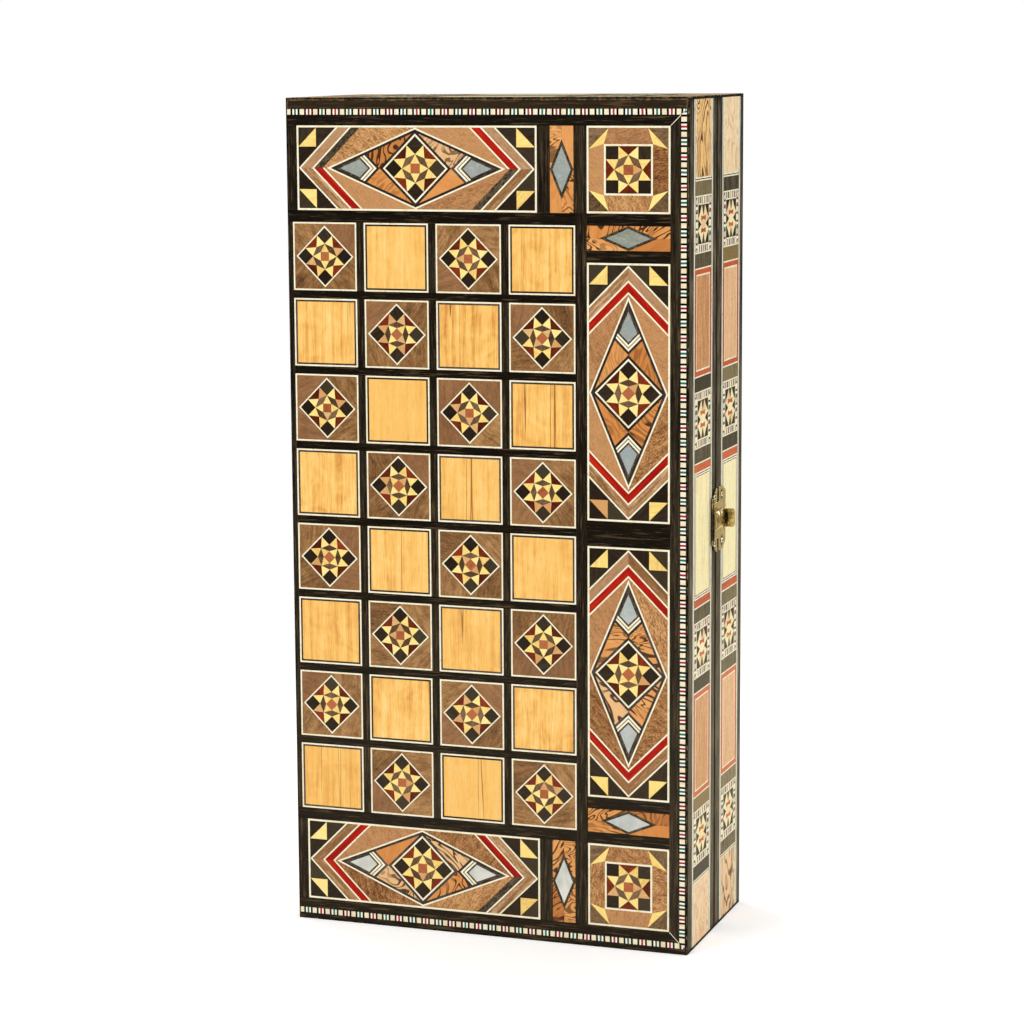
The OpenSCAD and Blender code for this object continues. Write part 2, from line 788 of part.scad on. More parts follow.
module framed_panel(wood) {
    a = framed_l / 2;
    b = strip_v;
    f = red_frame;
    if (wood == "red")
        ring(box_of(a, b), box_of(a - f, b - f), band_t);
    if (wood == "bone")
        ring(box_of(a - f, b - f), box_of(a - f - fine_line, b - f - fine_line), band_t);
    if (wood == "walnut")
        piece(box_of(a - f - fine_line, b - f - fine_line), band_t);
}

// The middle panel with its fine frames
module middle_panel(wood) {
    r = [0, fine_line, fine_line + fine_dark, 2 * fine_line + fine_dark, frame_ring];
    for (i = [0 : 3])
        if (wood == (i % 2 == 0 ? "bone" : "dark"))
            ring(
                box_of(middle_half + frame_ring - r[i], strip_v - r[i]),
                box_of(middle_half + frame_ring - r[i + 1], strip_v - r[i + 1]),
                band_t
            );
    if (wood == "maple")
        piece(box_of(middle_half, strip_v - frame_ring), band_t);
}

// shift moves the pattern along the band, and the two end panels take up the difference
module band(wood, length, long, shift) {
    last_u = long ? last_long_u : last_short_u;
    translate([shift, 0]) {
        middle_panel(wood);
        for (q = [0, 180])
            rotate(q) {
                if (wood == "red")
                    cross_piece(bar_u, bar_u + bar_l);
                if (wood == "bone")
                    cross_piece(bar_u + bar_l, block_1u);
                if (wood == "ebony") {
                    cross_piece(block_1u, mosaic_1u);
                    cross_piece(block_2u, block_2u + block_l);
                }
                translate([mosaic_1u + mosaic_l / 2, 0])
                    mosaic(wood);
                if (long) {
                    if (wood == "bone") {
                        cross_piece(framed_u - fine_line, framed_u);
                        cross_piece(framed_u + framed_l, block_3u);
                    }
                    translate([framed_u + framed_l / 2, 0])
                        framed_panel(wood);
                    translate([mosaic_2u + mosaic_l / 2, 0])
                        mosaic(wood);
                    if (wood == "ebony") {
                        cross_piece(block_3u, mosaic_2u);
                        cross_piece(block_4u, block_4u + block_l);
                    }
                }
                if (wood == "bone") {
                    cross_piece(last_u, last_u + fine_line);
                    cross_piece(last_u + fine_line + fine_dark, last_u + 2 * fine_line + fine_dark);
                }
                if (wood == "dark")
                    cross_piece(last_u + fine_line, last_u + fine_line + fine_dark);
            }
    }
    // End panels, edge lines and the dark hair lines beside them
    for (k = [-1, 1]) {
        u0 = last_u + 2 * fine_line + fine_dark + k * shift;
        u1 = length / 2;
        v1 = strip_v - side_bone;
        if (wood == "olive")
            piece(flipped(span_of(u0, u1, -v1, v1), k, 1), band_t);
        if (wood == "bone") {
            for (m = [-1, 1])
                piece(flipped(span_of(u0, u1, v1, strip_v), k, m), band_t);
            piece(flipped(span_of(-u1, u1, band_w / 2 - edge_line, band_w / 2), 1, k), band_t);
        }
        if (wood == "dark")
            piece(flipped(span_of(-u1, u1, strip_v, band_w / 2 - edge_line), 1, k), band_t);
    }
}

module side_inlay(wood, y) {
    long_l = case_h - 2 * band_stop;
    short_l = case_w - 2 * band_stop;
    translate([right - band_t, y, case_h / 2])
        rotate([0, 90, 0])
            band(wood, long_l, true, band_drop);
    translate([left + band_t, y, case_h / 2])
        rotate([0, -90, 0])
            band(wood, long_l, true, -band_drop);
    translate([shift_x, y, case_h - band_t])
        band(wood, short_l, false, 0);
    translate([shift_x, y, band_t + band_lift])
        rotate([180, 0, 0])
            band(wood, short_l, false, 0);
}

// The halves are mirror images apart from the order of the squares and the inset of the bands

module on_face() {
    translate([0, -half_d + sheet_t, 0])
        rotate([90, 0, 0])
            children();
}

module half_inlay(wood, side) {
    if (side == "front") {
        on_face() face_inlay(wood, 0);
        table_inlay(wood);
        side_inlay(wood, front_band_y);
    } else {
        mirror([0, 1, 0]) {
            on_face() face_inlay(wood, 1);
            table_inlay(wood);
        }
        side_inlay(wood, back_band_y);
    }
}

// Everything on a half is drawn for the front one, and turned over for the back one
module half(side) {
    if (side == "front")
        children();
    else
        mirror([0, 1, 0])
            children();
}

// Board of one half, recessed for the marquetry
module panel() {
    c = arris;
    difference() {
        intersection() {
            linear_extrude(case_h)
                polygon([
                    [left + c, -half_d], [right - c, -half_d], [right, -half_d + c],
                    [right, -half_d + panel_t], [left, -half_d + panel_t], [left, -half_d + c]
                ]);
            translate([left - past, 0, 0])
                rotate([90, 0, 90])
                    linear_extrude(case_w + 2 * past)
                        polygon([
                            [-half_d, c], [-half_d + c, 0], [-half_d + panel_t, 0],
                            [-half_d + panel_t, case_h], [-half_d + c, case_h], [-half_d, case_h - c]
                        ]);
        }
        translate([left + lip_w, -half_d - past, lip_w])
            cube([case_w - 2 * lip_w, sheet_t + past, case_h - 2 * lip_w]);
    }
}

// A mitred wall, drawn lying along u from 0 to its length with its outer face at v = 0
module wall_blank(length) {
    translate([0, -half_d + panel_t, 0])
        rotate([-90, 0, 0])
            linear_extrude(half_d - panel_t - rim_gap / 2)
                polygon([[0, 0], [length, 0], [length - wall_t, -wall_t], [wall_t, -wall_t]]);
}

module band_groove(length, y) {
    translate([band_stop, y - band_w / 2, -past])
        cube([length - 2 * band_stop, band_w, band_t + past]);
}

module top_wall(y) {
    translate([left, 0, case_h])
        mirror([0, 0, 1])
            difference() {
                wall_blank(case_w);
                band_groove(case_w, y);
            }
}

module bottom_wall(y) {
    translate([left, 0, 0])
        difference() {
            wall_blank(case_w);
            translate([band_stop, y - band_w / 2, -past])
                cube([case_w - 2 * band_stop, band_w, band_t + band_lift + past]);
        }
}

module hinge_wall(y) {
    difference() {
        translate([left, 0, case_h])
            rotate([0, 90, 0])
                difference() {
                    wall_blank(case_h);
                    band_groove(case_h, y);
                }
        for (z = hinge_zs) {
            translate([hinge_x, 0, z - hinge_l / 2 - knuckle_gap])
                cylinder(h = hinge_l + 2 * knuckle_gap, r = knuckle_r + knuckle_gap);
            translate([left - past, -rim_gap / 2 - leaf_t - leaf_fit, z - hinge_l / 2 - leaf_fit])
                cube([leaf_w + leaf_fit + past, leaf_t + leaf_fit + past, hinge_l + 2 * leaf_fit]);
            for (u = screw_us)
                translate([screw_x, 0, z + u])
                    rotate([90, 0, 0])
                        cylinder(h = screw_l + rim_gap + past, r = screw_r + screw_fit);
        }
    }
}

module latch_wall(y, nail_y) {
    difference() {
        translate([right, 0, 0])
            rotate([0, -90, 0])
                difference() {
                    wall_blank(case_h);
                    band_groove(case_h, y);
                }
        for (k = [-1, 1])
            translate([right - nail_l - past, -nail_y, clasp_z + k * nail_z])
                rotate([0, 90, 0])
                    cylinder(h = nail_l + 2 * past, r = nail_r + screw_fit);
    }
}

// Backgammon table

// Outline of point i, drawn in by g
function point_of(i, g) =
    let (u = left + wall_t + point_margin + (i + 0.5) * point_pitch)
        trimmed([
            [u - point_half, wall_t], [u + point_half, wall_t], [u, wall_t + point_l]
        ], g);

module on_floor() {
    translate([0, -floor_y, 0])
        rotate([90, 0, 0])
            children();
}

module at_both_ends() {
    children();
    translate([0, case_h])
        mirror([0, 1])
            children();
}

// The rosette stands in the middle of the floor with a lozenge panel on either side
module floor_panels(wood) {
    translate([shift_x, case_h / 2]) {
        corner_panel(wood, floor_t);
        for (k = [-1, 1])
            translate([k * (border_w + pearl_w + 2 * rosette_gap) / 2, 0])
                rotate(90)
                    pearl_panel(wood, floor_t);
    }
}

module table_inlay(wood) {
    on_floor() {
        floor_panels(wood);
        if (wood == "bone")
            at_both_ends()
                for (i = [0 : points - 1])
                    ring(point_of(i, 0), point_of(i, point_line), floor_t);
    }
}

module floor_sheet() {
    on_floor()
        linear_extrude(floor_t)
            difference() {
                translate([left + wall_t, wall_t])
                    square([inner_w, inner_h]);
                at_both_ends()
                    for (i = [0 : points - 1])
                        polygon(point_of(i, -glue_line / 2));
                translate([shift_x, case_h / 2]) {
                    square(border_w, center = true);
                    for (k = [-1, 1])
                        translate([k * (border_w + pearl_w + 2 * rosette_gap) / 2, 0])
                            square([pearl_w, border_w], center = true);
                }
            }
}

// The two ends run opposite ways, so that the colours alternate round the table
module table_points(odd) {
    on_floor() {
        for (i = [odd : 2 : points - 1])
            piece(point_of(i, point_line), floor_t);
        translate([0, case_h])
            mirror([0, 1])
                for (i = [1 - odd : 2 : points - 1])
                    piece(point_of(i, point_line), floor_t);
    }
}

// Hinges. The front leaf has three knuckles and the back leaf has two

// Foot and height of knuckle i, which keeps a gap to its neighbours
function knuckle_foot(i) = i * knuckle_l + (i == 0 ? 0 : knuckle_gap / 2);
function knuckle_h(i) =
    knuckle_l - knuckle_gap / 2 * ((i == 0 ? 0 : 1) + (i == knuckles - 1 ? 0 : 1));

module leaf(first, z) {
    difference() {
        union() {
            translate([left + leaf_start, -rim_gap / 2 - leaf_t, z - hinge_l / 2])
                cube([leaf_w - leaf_start, leaf_t, hinge_l]);
            for (i = [first : 2 : knuckles - 1])
                translate([hinge_x, 0, z - hinge_l / 2 + knuckle_foot(i)]) {
                    cylinder(h = knuckle_h(i), r = knuckle_r);
                    translate([0, -rim_gap / 2 - leaf_t, 0])
                        cube([leaf_start + axis_out + merge, leaf_t, knuckle_h(i)]);
                }
        }
        translate([hinge_x, 0, z - hinge_l / 2 - past])
            cylinder(h = hinge_l + 2 * past, r = pin_r + pin_fit);
        for (u = screw_us)
            translate([screw_x, -rim_gap / 2, z + u])
                rotate([90, 0, 0]) {
                    translate([0, 0, -past])
                        cylinder(h = leaf_t + 2 * past, r = screw_r + screw_fit);
                    translate([0, 0, -screw_fit])
                        cylinder(
                            h = screw_cone,
                            r1 = screw_head_r + 2 * screw_fit,
                            r2 = screw_r + screw_fit
                        );
                }
    }
}

module hinge_screw() {
    shank = screw_l - screw_cone - screw_tip;
    difference() {
        union() {
            cylinder(h = screw_cone, r1 = screw_head_r, r2 = screw_r);
            translate([0, 0, screw_cone - merge])
                cylinder(h = shank + merge, r = screw_r);
            translate([0, 0, screw_cone + shank - merge / 10])
                cylinder(h = screw_tip, r1 = screw_r, r2 = screw_r / 5);
        }
        translate([-screw_head_r, -slot_w / 2, -past])
            cube([2 * screw_head_r, slot_w, past + slot_t]);
    }
}

module hinge_screws() {
    for (z = hinge_zs, u = screw_us)
        translate([screw_x, -rim_gap / 2, z + u])
            rotate([90, 0, 0])
                hinge_screw();
}

// Clasp

// A plate stands upright with its straight edge at the joint. Its outer edge draws in to both ends
module plate_outline(w) {
    h = plate_h / 2;
    end = [plate_draw - w, h];
    shoulder = [-w, plate_flat / 2];
    down = unit(shoulder - end);
    // From a corner to where its round begins
    reach = plate_round / tan(acos(-down[0]) / 2);
    difference() {
        for (k = [0, 1])
            mirror([0, k]) {
                polygon([
                    [0, 0], [0, h], end + [reach, 0], end + reach * down, shoulder, [-w, 0]
                ]);
                translate(end + [reach, -plate_round])
                    circle(plate_round);
            }
        for (k = [-1, 1])
            translate([-nail_in, k * nail_z])
                circle(nail_r + screw_fit);
    }
}

module on_clasp(y) {
    translate([right, y, clasp_z])
        rotate([90, 0, 90])
            children();
}

module pivot_z(h) {
    translate([pivot_x, hasp_pivot_y, clasp_z - h / 2])
        children();
}

module plate() {
    difference() {
        union() {
            on_clasp(-plate_gap)
                linear_extrude(plate_t)
                    plate_outline(plate_w);
            // The eyes and the tongues of the plate that are rolled into them
            for (k = [-1, 1])
                translate([right, hasp_pivot_y, clasp_z + k * eye_z - eye_l / 2]) {
                    translate([pivot_x - right, 0, 0])
                        cylinder(h = eye_l, r = hasp_knuckle_r);
                    cube([plate_t, hasp_knuckle_r + plate_fit + merge, eye_l]);
                }
        }
        pivot_z(plate_h)
            cylinder(h = plate_h, r = clasp_pin_r + pin_fit);
    }
}

// The hasp laid flat. Its wings draw in to the raised middle where they pass the joint
module hasp_outline() {
    h = hasp_h / 2;
    b = hasp_band / 2;
    foot = hasp_pivot_y;
    wing = keeper_gap + wing_past;
    polygon([
        [foot, -h], [wing - wing_taper, -h], [wing, -b - wing_step], [hasp_reach, -b],
        [hasp_reach, b], [wing, b + wing_step], [wing - wing_taper, h], [foot, h]
    ]);
}

// Section of the hasp: flat wings with a raised, sloping sided channel between them
module hasp_section() {
    b = hasp_band / 2;
    lean = (hasp_band - hasp_top) / 2 / hasp_rise;
    inner = b + lean * hasp_t - hasp_t * norm([1, lean]);
    inner_top = inner - lean * hasp_rise;
    out = hasp_rise + hasp_t;
    polygon([
        [0, -hasp_h], [0, -inner], [hasp_rise, -inner_top], [hasp_rise, inner_top],
        [0, inner], [0, hasp_h], [hasp_t, hasp_h], [hasp_t, b],
        [out, hasp_top / 2], [out, -hasp_top / 2], [hasp_t, -b], [hasp_t, -hasp_h]
    ]);
}

// The raised middle starts at the knuckle as a solid ramp
module hasp_ramp() {
    b = hasp_band / 2;
    out = hasp_rise + hasp_t;
    intersection() {
        translate([hasp_face, ramp_y + merge, clasp_z])
            rotate([90, 0, 0])
                linear_extrude(ramp_l + merge)
                    polygon([
                        [0, -b], [0, b], [hasp_t, b],
                        [out, hasp_top / 2], [out, -hasp_top / 2], [hasp_t, -b]
                    ]);
        translate([hasp_face, ramp_y, clasp_z - hasp_h / 2])
            linear_extrude(hasp_h)
                polygon([
                    [0, merge], [0, -ramp_l], [hasp_t, -ramp_l], [out, 0], [out, merge]
                ]);
    }
}

module tab_outline() {
    b = hasp_band / 2;
    l = hasp_rise + hasp_t + tab_out;
    translate([0, -b])
        square([l - tab_round, hasp_band]);
    translate([0, -b + tab_round])
        square([l, hasp_band - 2 * tab_round]);
    for (k = [-1, 1])
        translate([l - tab_round, k * (b - tab_round)])
            circle(tab_round);
}

module hasp() {
    channel_l = hasp_reach - ramp_y;
    difference() {
        union() {
            intersection() {
                translate([hasp_face, 0, clasp_z])
                    rotate([90, 0, 90])
                        linear_extrude(hasp_t + hasp_rise)
                            hasp_outline();
                translate([hasp_face, hasp_reach, clasp_z])
                    rotate([90, 0, 0])
                        linear_extrude(channel_l)
                            hasp_section();
            }
            translate([hasp_face, hasp_pivot_y, clasp_z - hasp_h / 2])
                cube([hasp_t, ramp_y - hasp_pivot_y + merge, hasp_h]);
            hasp_ramp();
            pivot_z(hasp_h)
                cylinder(h = hasp_h, r = hasp_knuckle_r);
            translate([hasp_face, hasp_reach - hasp_t, clasp_z])
                rotate([-90, 0, 0])
                    linear_extrude(hasp_t)
                        tab_outline();
        }
        pivot_z(plate_h)
            cylinder(h = plate_h, r = clasp_pin_r + pin_fit);
    }
}

module keeper() {
    union() {
        mirror([0, 1, 0])
            on_clasp(-keeper_gap)
                linear_extrude(plate_t)
                    plate_outline(keeper_w);
        translate([plate_face - merge, lug_y, clasp_z])
            rotate([0, 90, 0]) {
                cylinder(h = lug_foot * lug_h + merge, r = lug_r);
                translate([0, 0, lug_foot * lug_h + merge])
                    cylinder(h = (1 - lug_foot) * lug_h, r1 = lug_r, r2 = lug_foot * lug_r);
            }
    }
}

// Each nail head is the cap of a ball whose middle lies below the plate
module clasp_nails(nail_y) {
    sink = nail_head_r / 2;
    for (k = [-1, 1])
        translate([right, -nail_y, clasp_z + k * nail_z])
            rotate([0, 90, 0]) {
                translate([0, 0, -nail_l])
                    cylinder(h = nail_l + plate_t + merge, r = nail_r);
                translate([0, 0, plate_t])
                    intersection() {
                        translate([0, 0, -sink])
                            sphere(norm([nail_head_r, sink]));
                        cylinder(h = nail_head_r, r = 2 * nail_head_r);
                    }
            }
}

// The sub-parts

module front_panel() {
    color(BLACK) half("front") panel();
}

module front_hinge_wall() {
    color(BLACK) half("front") hinge_wall(front_band_y);
}

module front_latch_wall() {
    color(BLACK) half("front") latch_wall(front_band_y, front_nail_y);
}

module front_top_wall() {
    color(BLACK) half("front") top_wall(front_band_y);
}

module front_bottom_wall() {
    color(BLACK) half("front") bottom_wall(front_band_y);
}

module front_floor() {
    color(WALNUT) half("front") floor_sheet();
}

module front_dark_points() {
    color(RED) half("front") table_points(0);
}

module front_light_points() {
    color(MAPLE) half("front") table_points(1);
}

module front_ebony_ground() {
    color(EBONY) half("front") on_face() ebony_sheet();
}

module front_maple_fields() {
    color(MAPLE) half_inlay("maple", "front");
}

module front_walnut_fields() {
    color(WALNUT) half_inlay("walnut", "front");
}

module front_bone_lines() {
    color(BONE) half_inlay("bone", "front");
}

module front_dark_lines() {
    color(EBONY) half_inlay("dark", "front");
}

module front_star_points() {
    color(LEMON) half_inlay("lemon", "front");
}

module front_star_hearts() {
    color(HEART) half_inlay("heart", "front");
}

module front_red_inlays() {
    color(RED) half_inlay("red", "front");
}

module front_ebony_inlays() {
    color(BLACK) half_inlay("ebony", "front");
}

module front_pearl_inlays() {
    color(PEARL) half_inlay("pearl", "front");
}

module front_olive_inlays() {
    color(OLIVE) half_inlay("olive", "front");
}

module front_light_bands() {
    color(LIGHT) half_inlay("light", "front");
}

module front_mosaic_string() {
    color(STRING) half_inlay("string", "front");
}

module back_panel() {
    color(BLACK) half("back") panel();
}

module back_hinge_wall() {
    color(BLACK) half("back") hinge_wall(-back_band_y);
}

module back_latch_wall() {
    color(BLACK) half("back") latch_wall(-back_band_y, back_nail_y);
}

module back_top_wall() {
    color(BLACK) half("back") top_wall(-back_band_y);
}

module back_bottom_wall() {
    color(BLACK) half("back") bottom_wall(-back_band_y);
}

module back_floor() {
    color(WALNUT) half("back") floor_sheet();
}

module back_dark_points() {
    color(RED) half("back") table_points(1);
}

module back_light_points() {
    color(MAPLE) half("back") table_points(0);
}

module back_ebony_ground() {
    color(EBONY) half("back") on_face() ebony_sheet();
}

module back_maple_fields() {
    color(MAPLE) half_inlay("maple", "back");
}

module back_walnut_fields() {
    color(WALNUT) half_inlay("walnut", "back");
}

module back_bone_lines() {
    color(BONE) half_inlay("bone", "back");
}

module back_dark_lines() {
    color(EBONY) half_inlay("dark", "back");
}

module back_star_points() {
    color(LEMON) half_inlay("lemon", "back");
}

module back_star_hearts() {
    color(HEART) half_inlay("heart", "back");
}

module back_red_inlays() {
    color(RED) half_inlay("red", "back");
}

module back_ebony_inlays() {
    color(BLACK) half_inlay("ebony", "back");
}

module back_pearl_inlays() {
    color(PEARL) half_inlay("pearl", "back");
}

module back_olive_inlays() {
    color(OLIVE) half_inlay("olive", "back");
}

module back_light_bands() {
    color(LIGHT) half_inlay("light", "back");
}

module back_mosaic_string() {
    color(STRING) half_inlay("string", "back");
}

module front_hinge_leaves() {
    color(BRASS) for (z = hinge_zs) leaf(0, z);
}

module back_hinge_leaves() {
    color(BRASS) mirror([0, 1, 0]) for (z = hinge_zs) leaf(1, z);
}

module hinge_pins() {
    color(BRASS)
        for (z = hinge_zs)
            translate([hinge_x, 0, z - hinge_l / 2])
                cylinder(h = hinge_l, r = pin_r);
}

module front_hinge_screws() {
    color(BRASS) half("front") hinge_screws();
}

module back_hinge_screws() {
    color(BRASS) half("back") hinge_screws();
}

module clasp_plate() {
    color(BRASS) plate();
}

module clasp_hasp() {
    color(BRASS) hasp();
}

module clasp_pin() {
    pin_l = hasp_h + 2 * eye_l + knuckle_gap;
    color(BRASS)
        pivot_z(pin_l)
            cylinder(h = pin_l, r = clasp_pin_r);
}

module clasp_keeper() {
    color(BRASS) keeper();
}

module front_clasp_nails() {
    color(BRASS) half("front") clasp_nails(front_nail_y);
}

module back_clasp_nails() {
    color(BRASS) half("back") clasp_nails(back_nail_y);
}

front_panel();
front_hinge_wall();
front_latch_wall();
front_top_wall();
front_bottom_wall();
front_floor();
front_dark_points();
front_light_points();
front_ebony_ground();
front_maple_fields();
front_walnut_fields();
front_bone_lines();
front_dark_lines();
front_star_points();
front_star_hearts();
front_red_inlays();
front_ebony_inlays();
front_pearl_inlays();
front_olive_inlays();
front_light_bands();
front_mosaic_string();
back_panel();
back_hinge_wall();
back_latch_wall();
back_top_wall();
back_bottom_wall();
back_floor();
back_dark_points();
back_light_points();
back_ebony_ground();
back_maple_fields();
back_walnut_fields();
back_bone_lines();
back_dark_lines();
back_star_points();
back_star_hearts();
back_red_inlays();
back_ebony_inlays();
back_pearl_inlays();
back_olive_inlays();
back_light_bands();
back_mosaic_string();
front_hinge_leaves();
back_hinge_leaves();
hinge_pins();
front_hinge_screws();
back_hinge_screws();
clasp_plate();
clasp_hasp();
clasp_pin();
clasp_keeper();
front_clasp_nails();
back_clasp_nails();
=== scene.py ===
"""Looks of an inlaid chess and backgammon board, drawn round the parts of its CAD model.

The marquetry is copied chip by chip from the CAD nodes, so that every piece of wood and bone has
its own tone and its own way of lying. Lengths are metres unless a name ends in _mm. Z is up.
"""

import json
import logging
import math
from dataclasses import dataclass, field
from enum import Enum

import bpy
import numpy as np
from mathutils import Matrix, Vector

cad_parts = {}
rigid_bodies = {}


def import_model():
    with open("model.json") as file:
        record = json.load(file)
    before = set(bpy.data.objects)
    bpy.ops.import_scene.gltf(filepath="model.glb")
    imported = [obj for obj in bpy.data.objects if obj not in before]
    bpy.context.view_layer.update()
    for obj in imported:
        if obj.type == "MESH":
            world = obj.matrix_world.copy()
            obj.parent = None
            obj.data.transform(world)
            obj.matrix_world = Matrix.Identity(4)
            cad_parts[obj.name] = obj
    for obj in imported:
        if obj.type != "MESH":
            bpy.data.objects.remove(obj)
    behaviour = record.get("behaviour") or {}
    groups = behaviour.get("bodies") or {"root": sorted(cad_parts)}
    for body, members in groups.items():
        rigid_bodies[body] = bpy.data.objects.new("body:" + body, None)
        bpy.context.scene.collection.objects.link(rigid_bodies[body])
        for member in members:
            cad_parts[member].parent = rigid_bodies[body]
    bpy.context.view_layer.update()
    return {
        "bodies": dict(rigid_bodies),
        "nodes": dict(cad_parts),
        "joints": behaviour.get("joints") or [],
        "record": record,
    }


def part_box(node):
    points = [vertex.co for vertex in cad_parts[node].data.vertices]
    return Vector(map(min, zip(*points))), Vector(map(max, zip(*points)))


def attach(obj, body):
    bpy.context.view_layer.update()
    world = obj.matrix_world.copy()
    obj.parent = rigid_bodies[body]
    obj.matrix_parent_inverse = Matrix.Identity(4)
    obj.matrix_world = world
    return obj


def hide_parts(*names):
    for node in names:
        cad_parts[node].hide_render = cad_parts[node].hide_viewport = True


log = logging.getLogger("board")

Point = tuple[float, float, float]
Colour = tuple[float, float, float]
Socket = bpy.types.NodeSocket
Value = Socket | float

MM = 0.001
CASE_SIZE_MM = (247.3, 119.0, 500.0)
CASE_MIDDLE_MM = (-3.5, 0.0, 250.0)
SHEET_DEPTH_MM = 2.0
LONG_STRIP_MM = 100.0
SMOOTH_ANGLE = math.radians(30)
ACROSS = (1.0, 0.0, 0.0)
THROUGH = (0.0, 1.0, 0.0)
UP = (0.0, 0.0, 1.0)
WHITE = (1.0, 1.0, 1.0)
# How far the place moves, in mm, from one chip's seed to the next
SEED_STEP_MM = (37.1, 53.7, 91.3)


def srgb(red: float, green: float, blue: float) -> Colour:
    """Linear colour of an sRGB colour.

    A value c from 0 to 1 becomes c / 12.92 where it is small, and ((c + 0.055) / 1.055) ^ 2.4
    elsewhere.

    Args:
        red: From 0 to 255.
        green: From 0 to 255.
        blue: From 0 to 255.

    Returns:
        Its linear red, green and blue, from 0 to 1.
    """
    values = np.array([red, green, blue]) / 255
    linear = np.where(values <= 0.04045, values / 12.92, ((values + 0.055) / 1.055) ** 2.4)
    return tuple(float(v) for v in linear)


class Grain(Enum):
    """Which way the grain of a chip runs."""

    UPRIGHT = "along the height of the board"
    LEVEL = "across the width of the board"
    ALONG = "along the chip"
    ANY = "any way in the plane of the chip"


class Place(Enum):
    """Where on the shut board a chip lies."""

    FACE = "on one of the two large faces"
    BAND = "in the band round the narrow sides"
    HIGH_BAND = "in the upper half of that band"
    LOW_BAND = "in the lower half of that band"
    ANYWHERE = "anywhere"


# Shader graphs

# Each pair is where a feature begins and where it is full
SPOT_RIM = (1.0, 0.6)
RUB_EDGE_MM = (-0.3, 0.5)
# How far the edge of a rubbed line wanders
RUB_WANDER_MM = 3.6


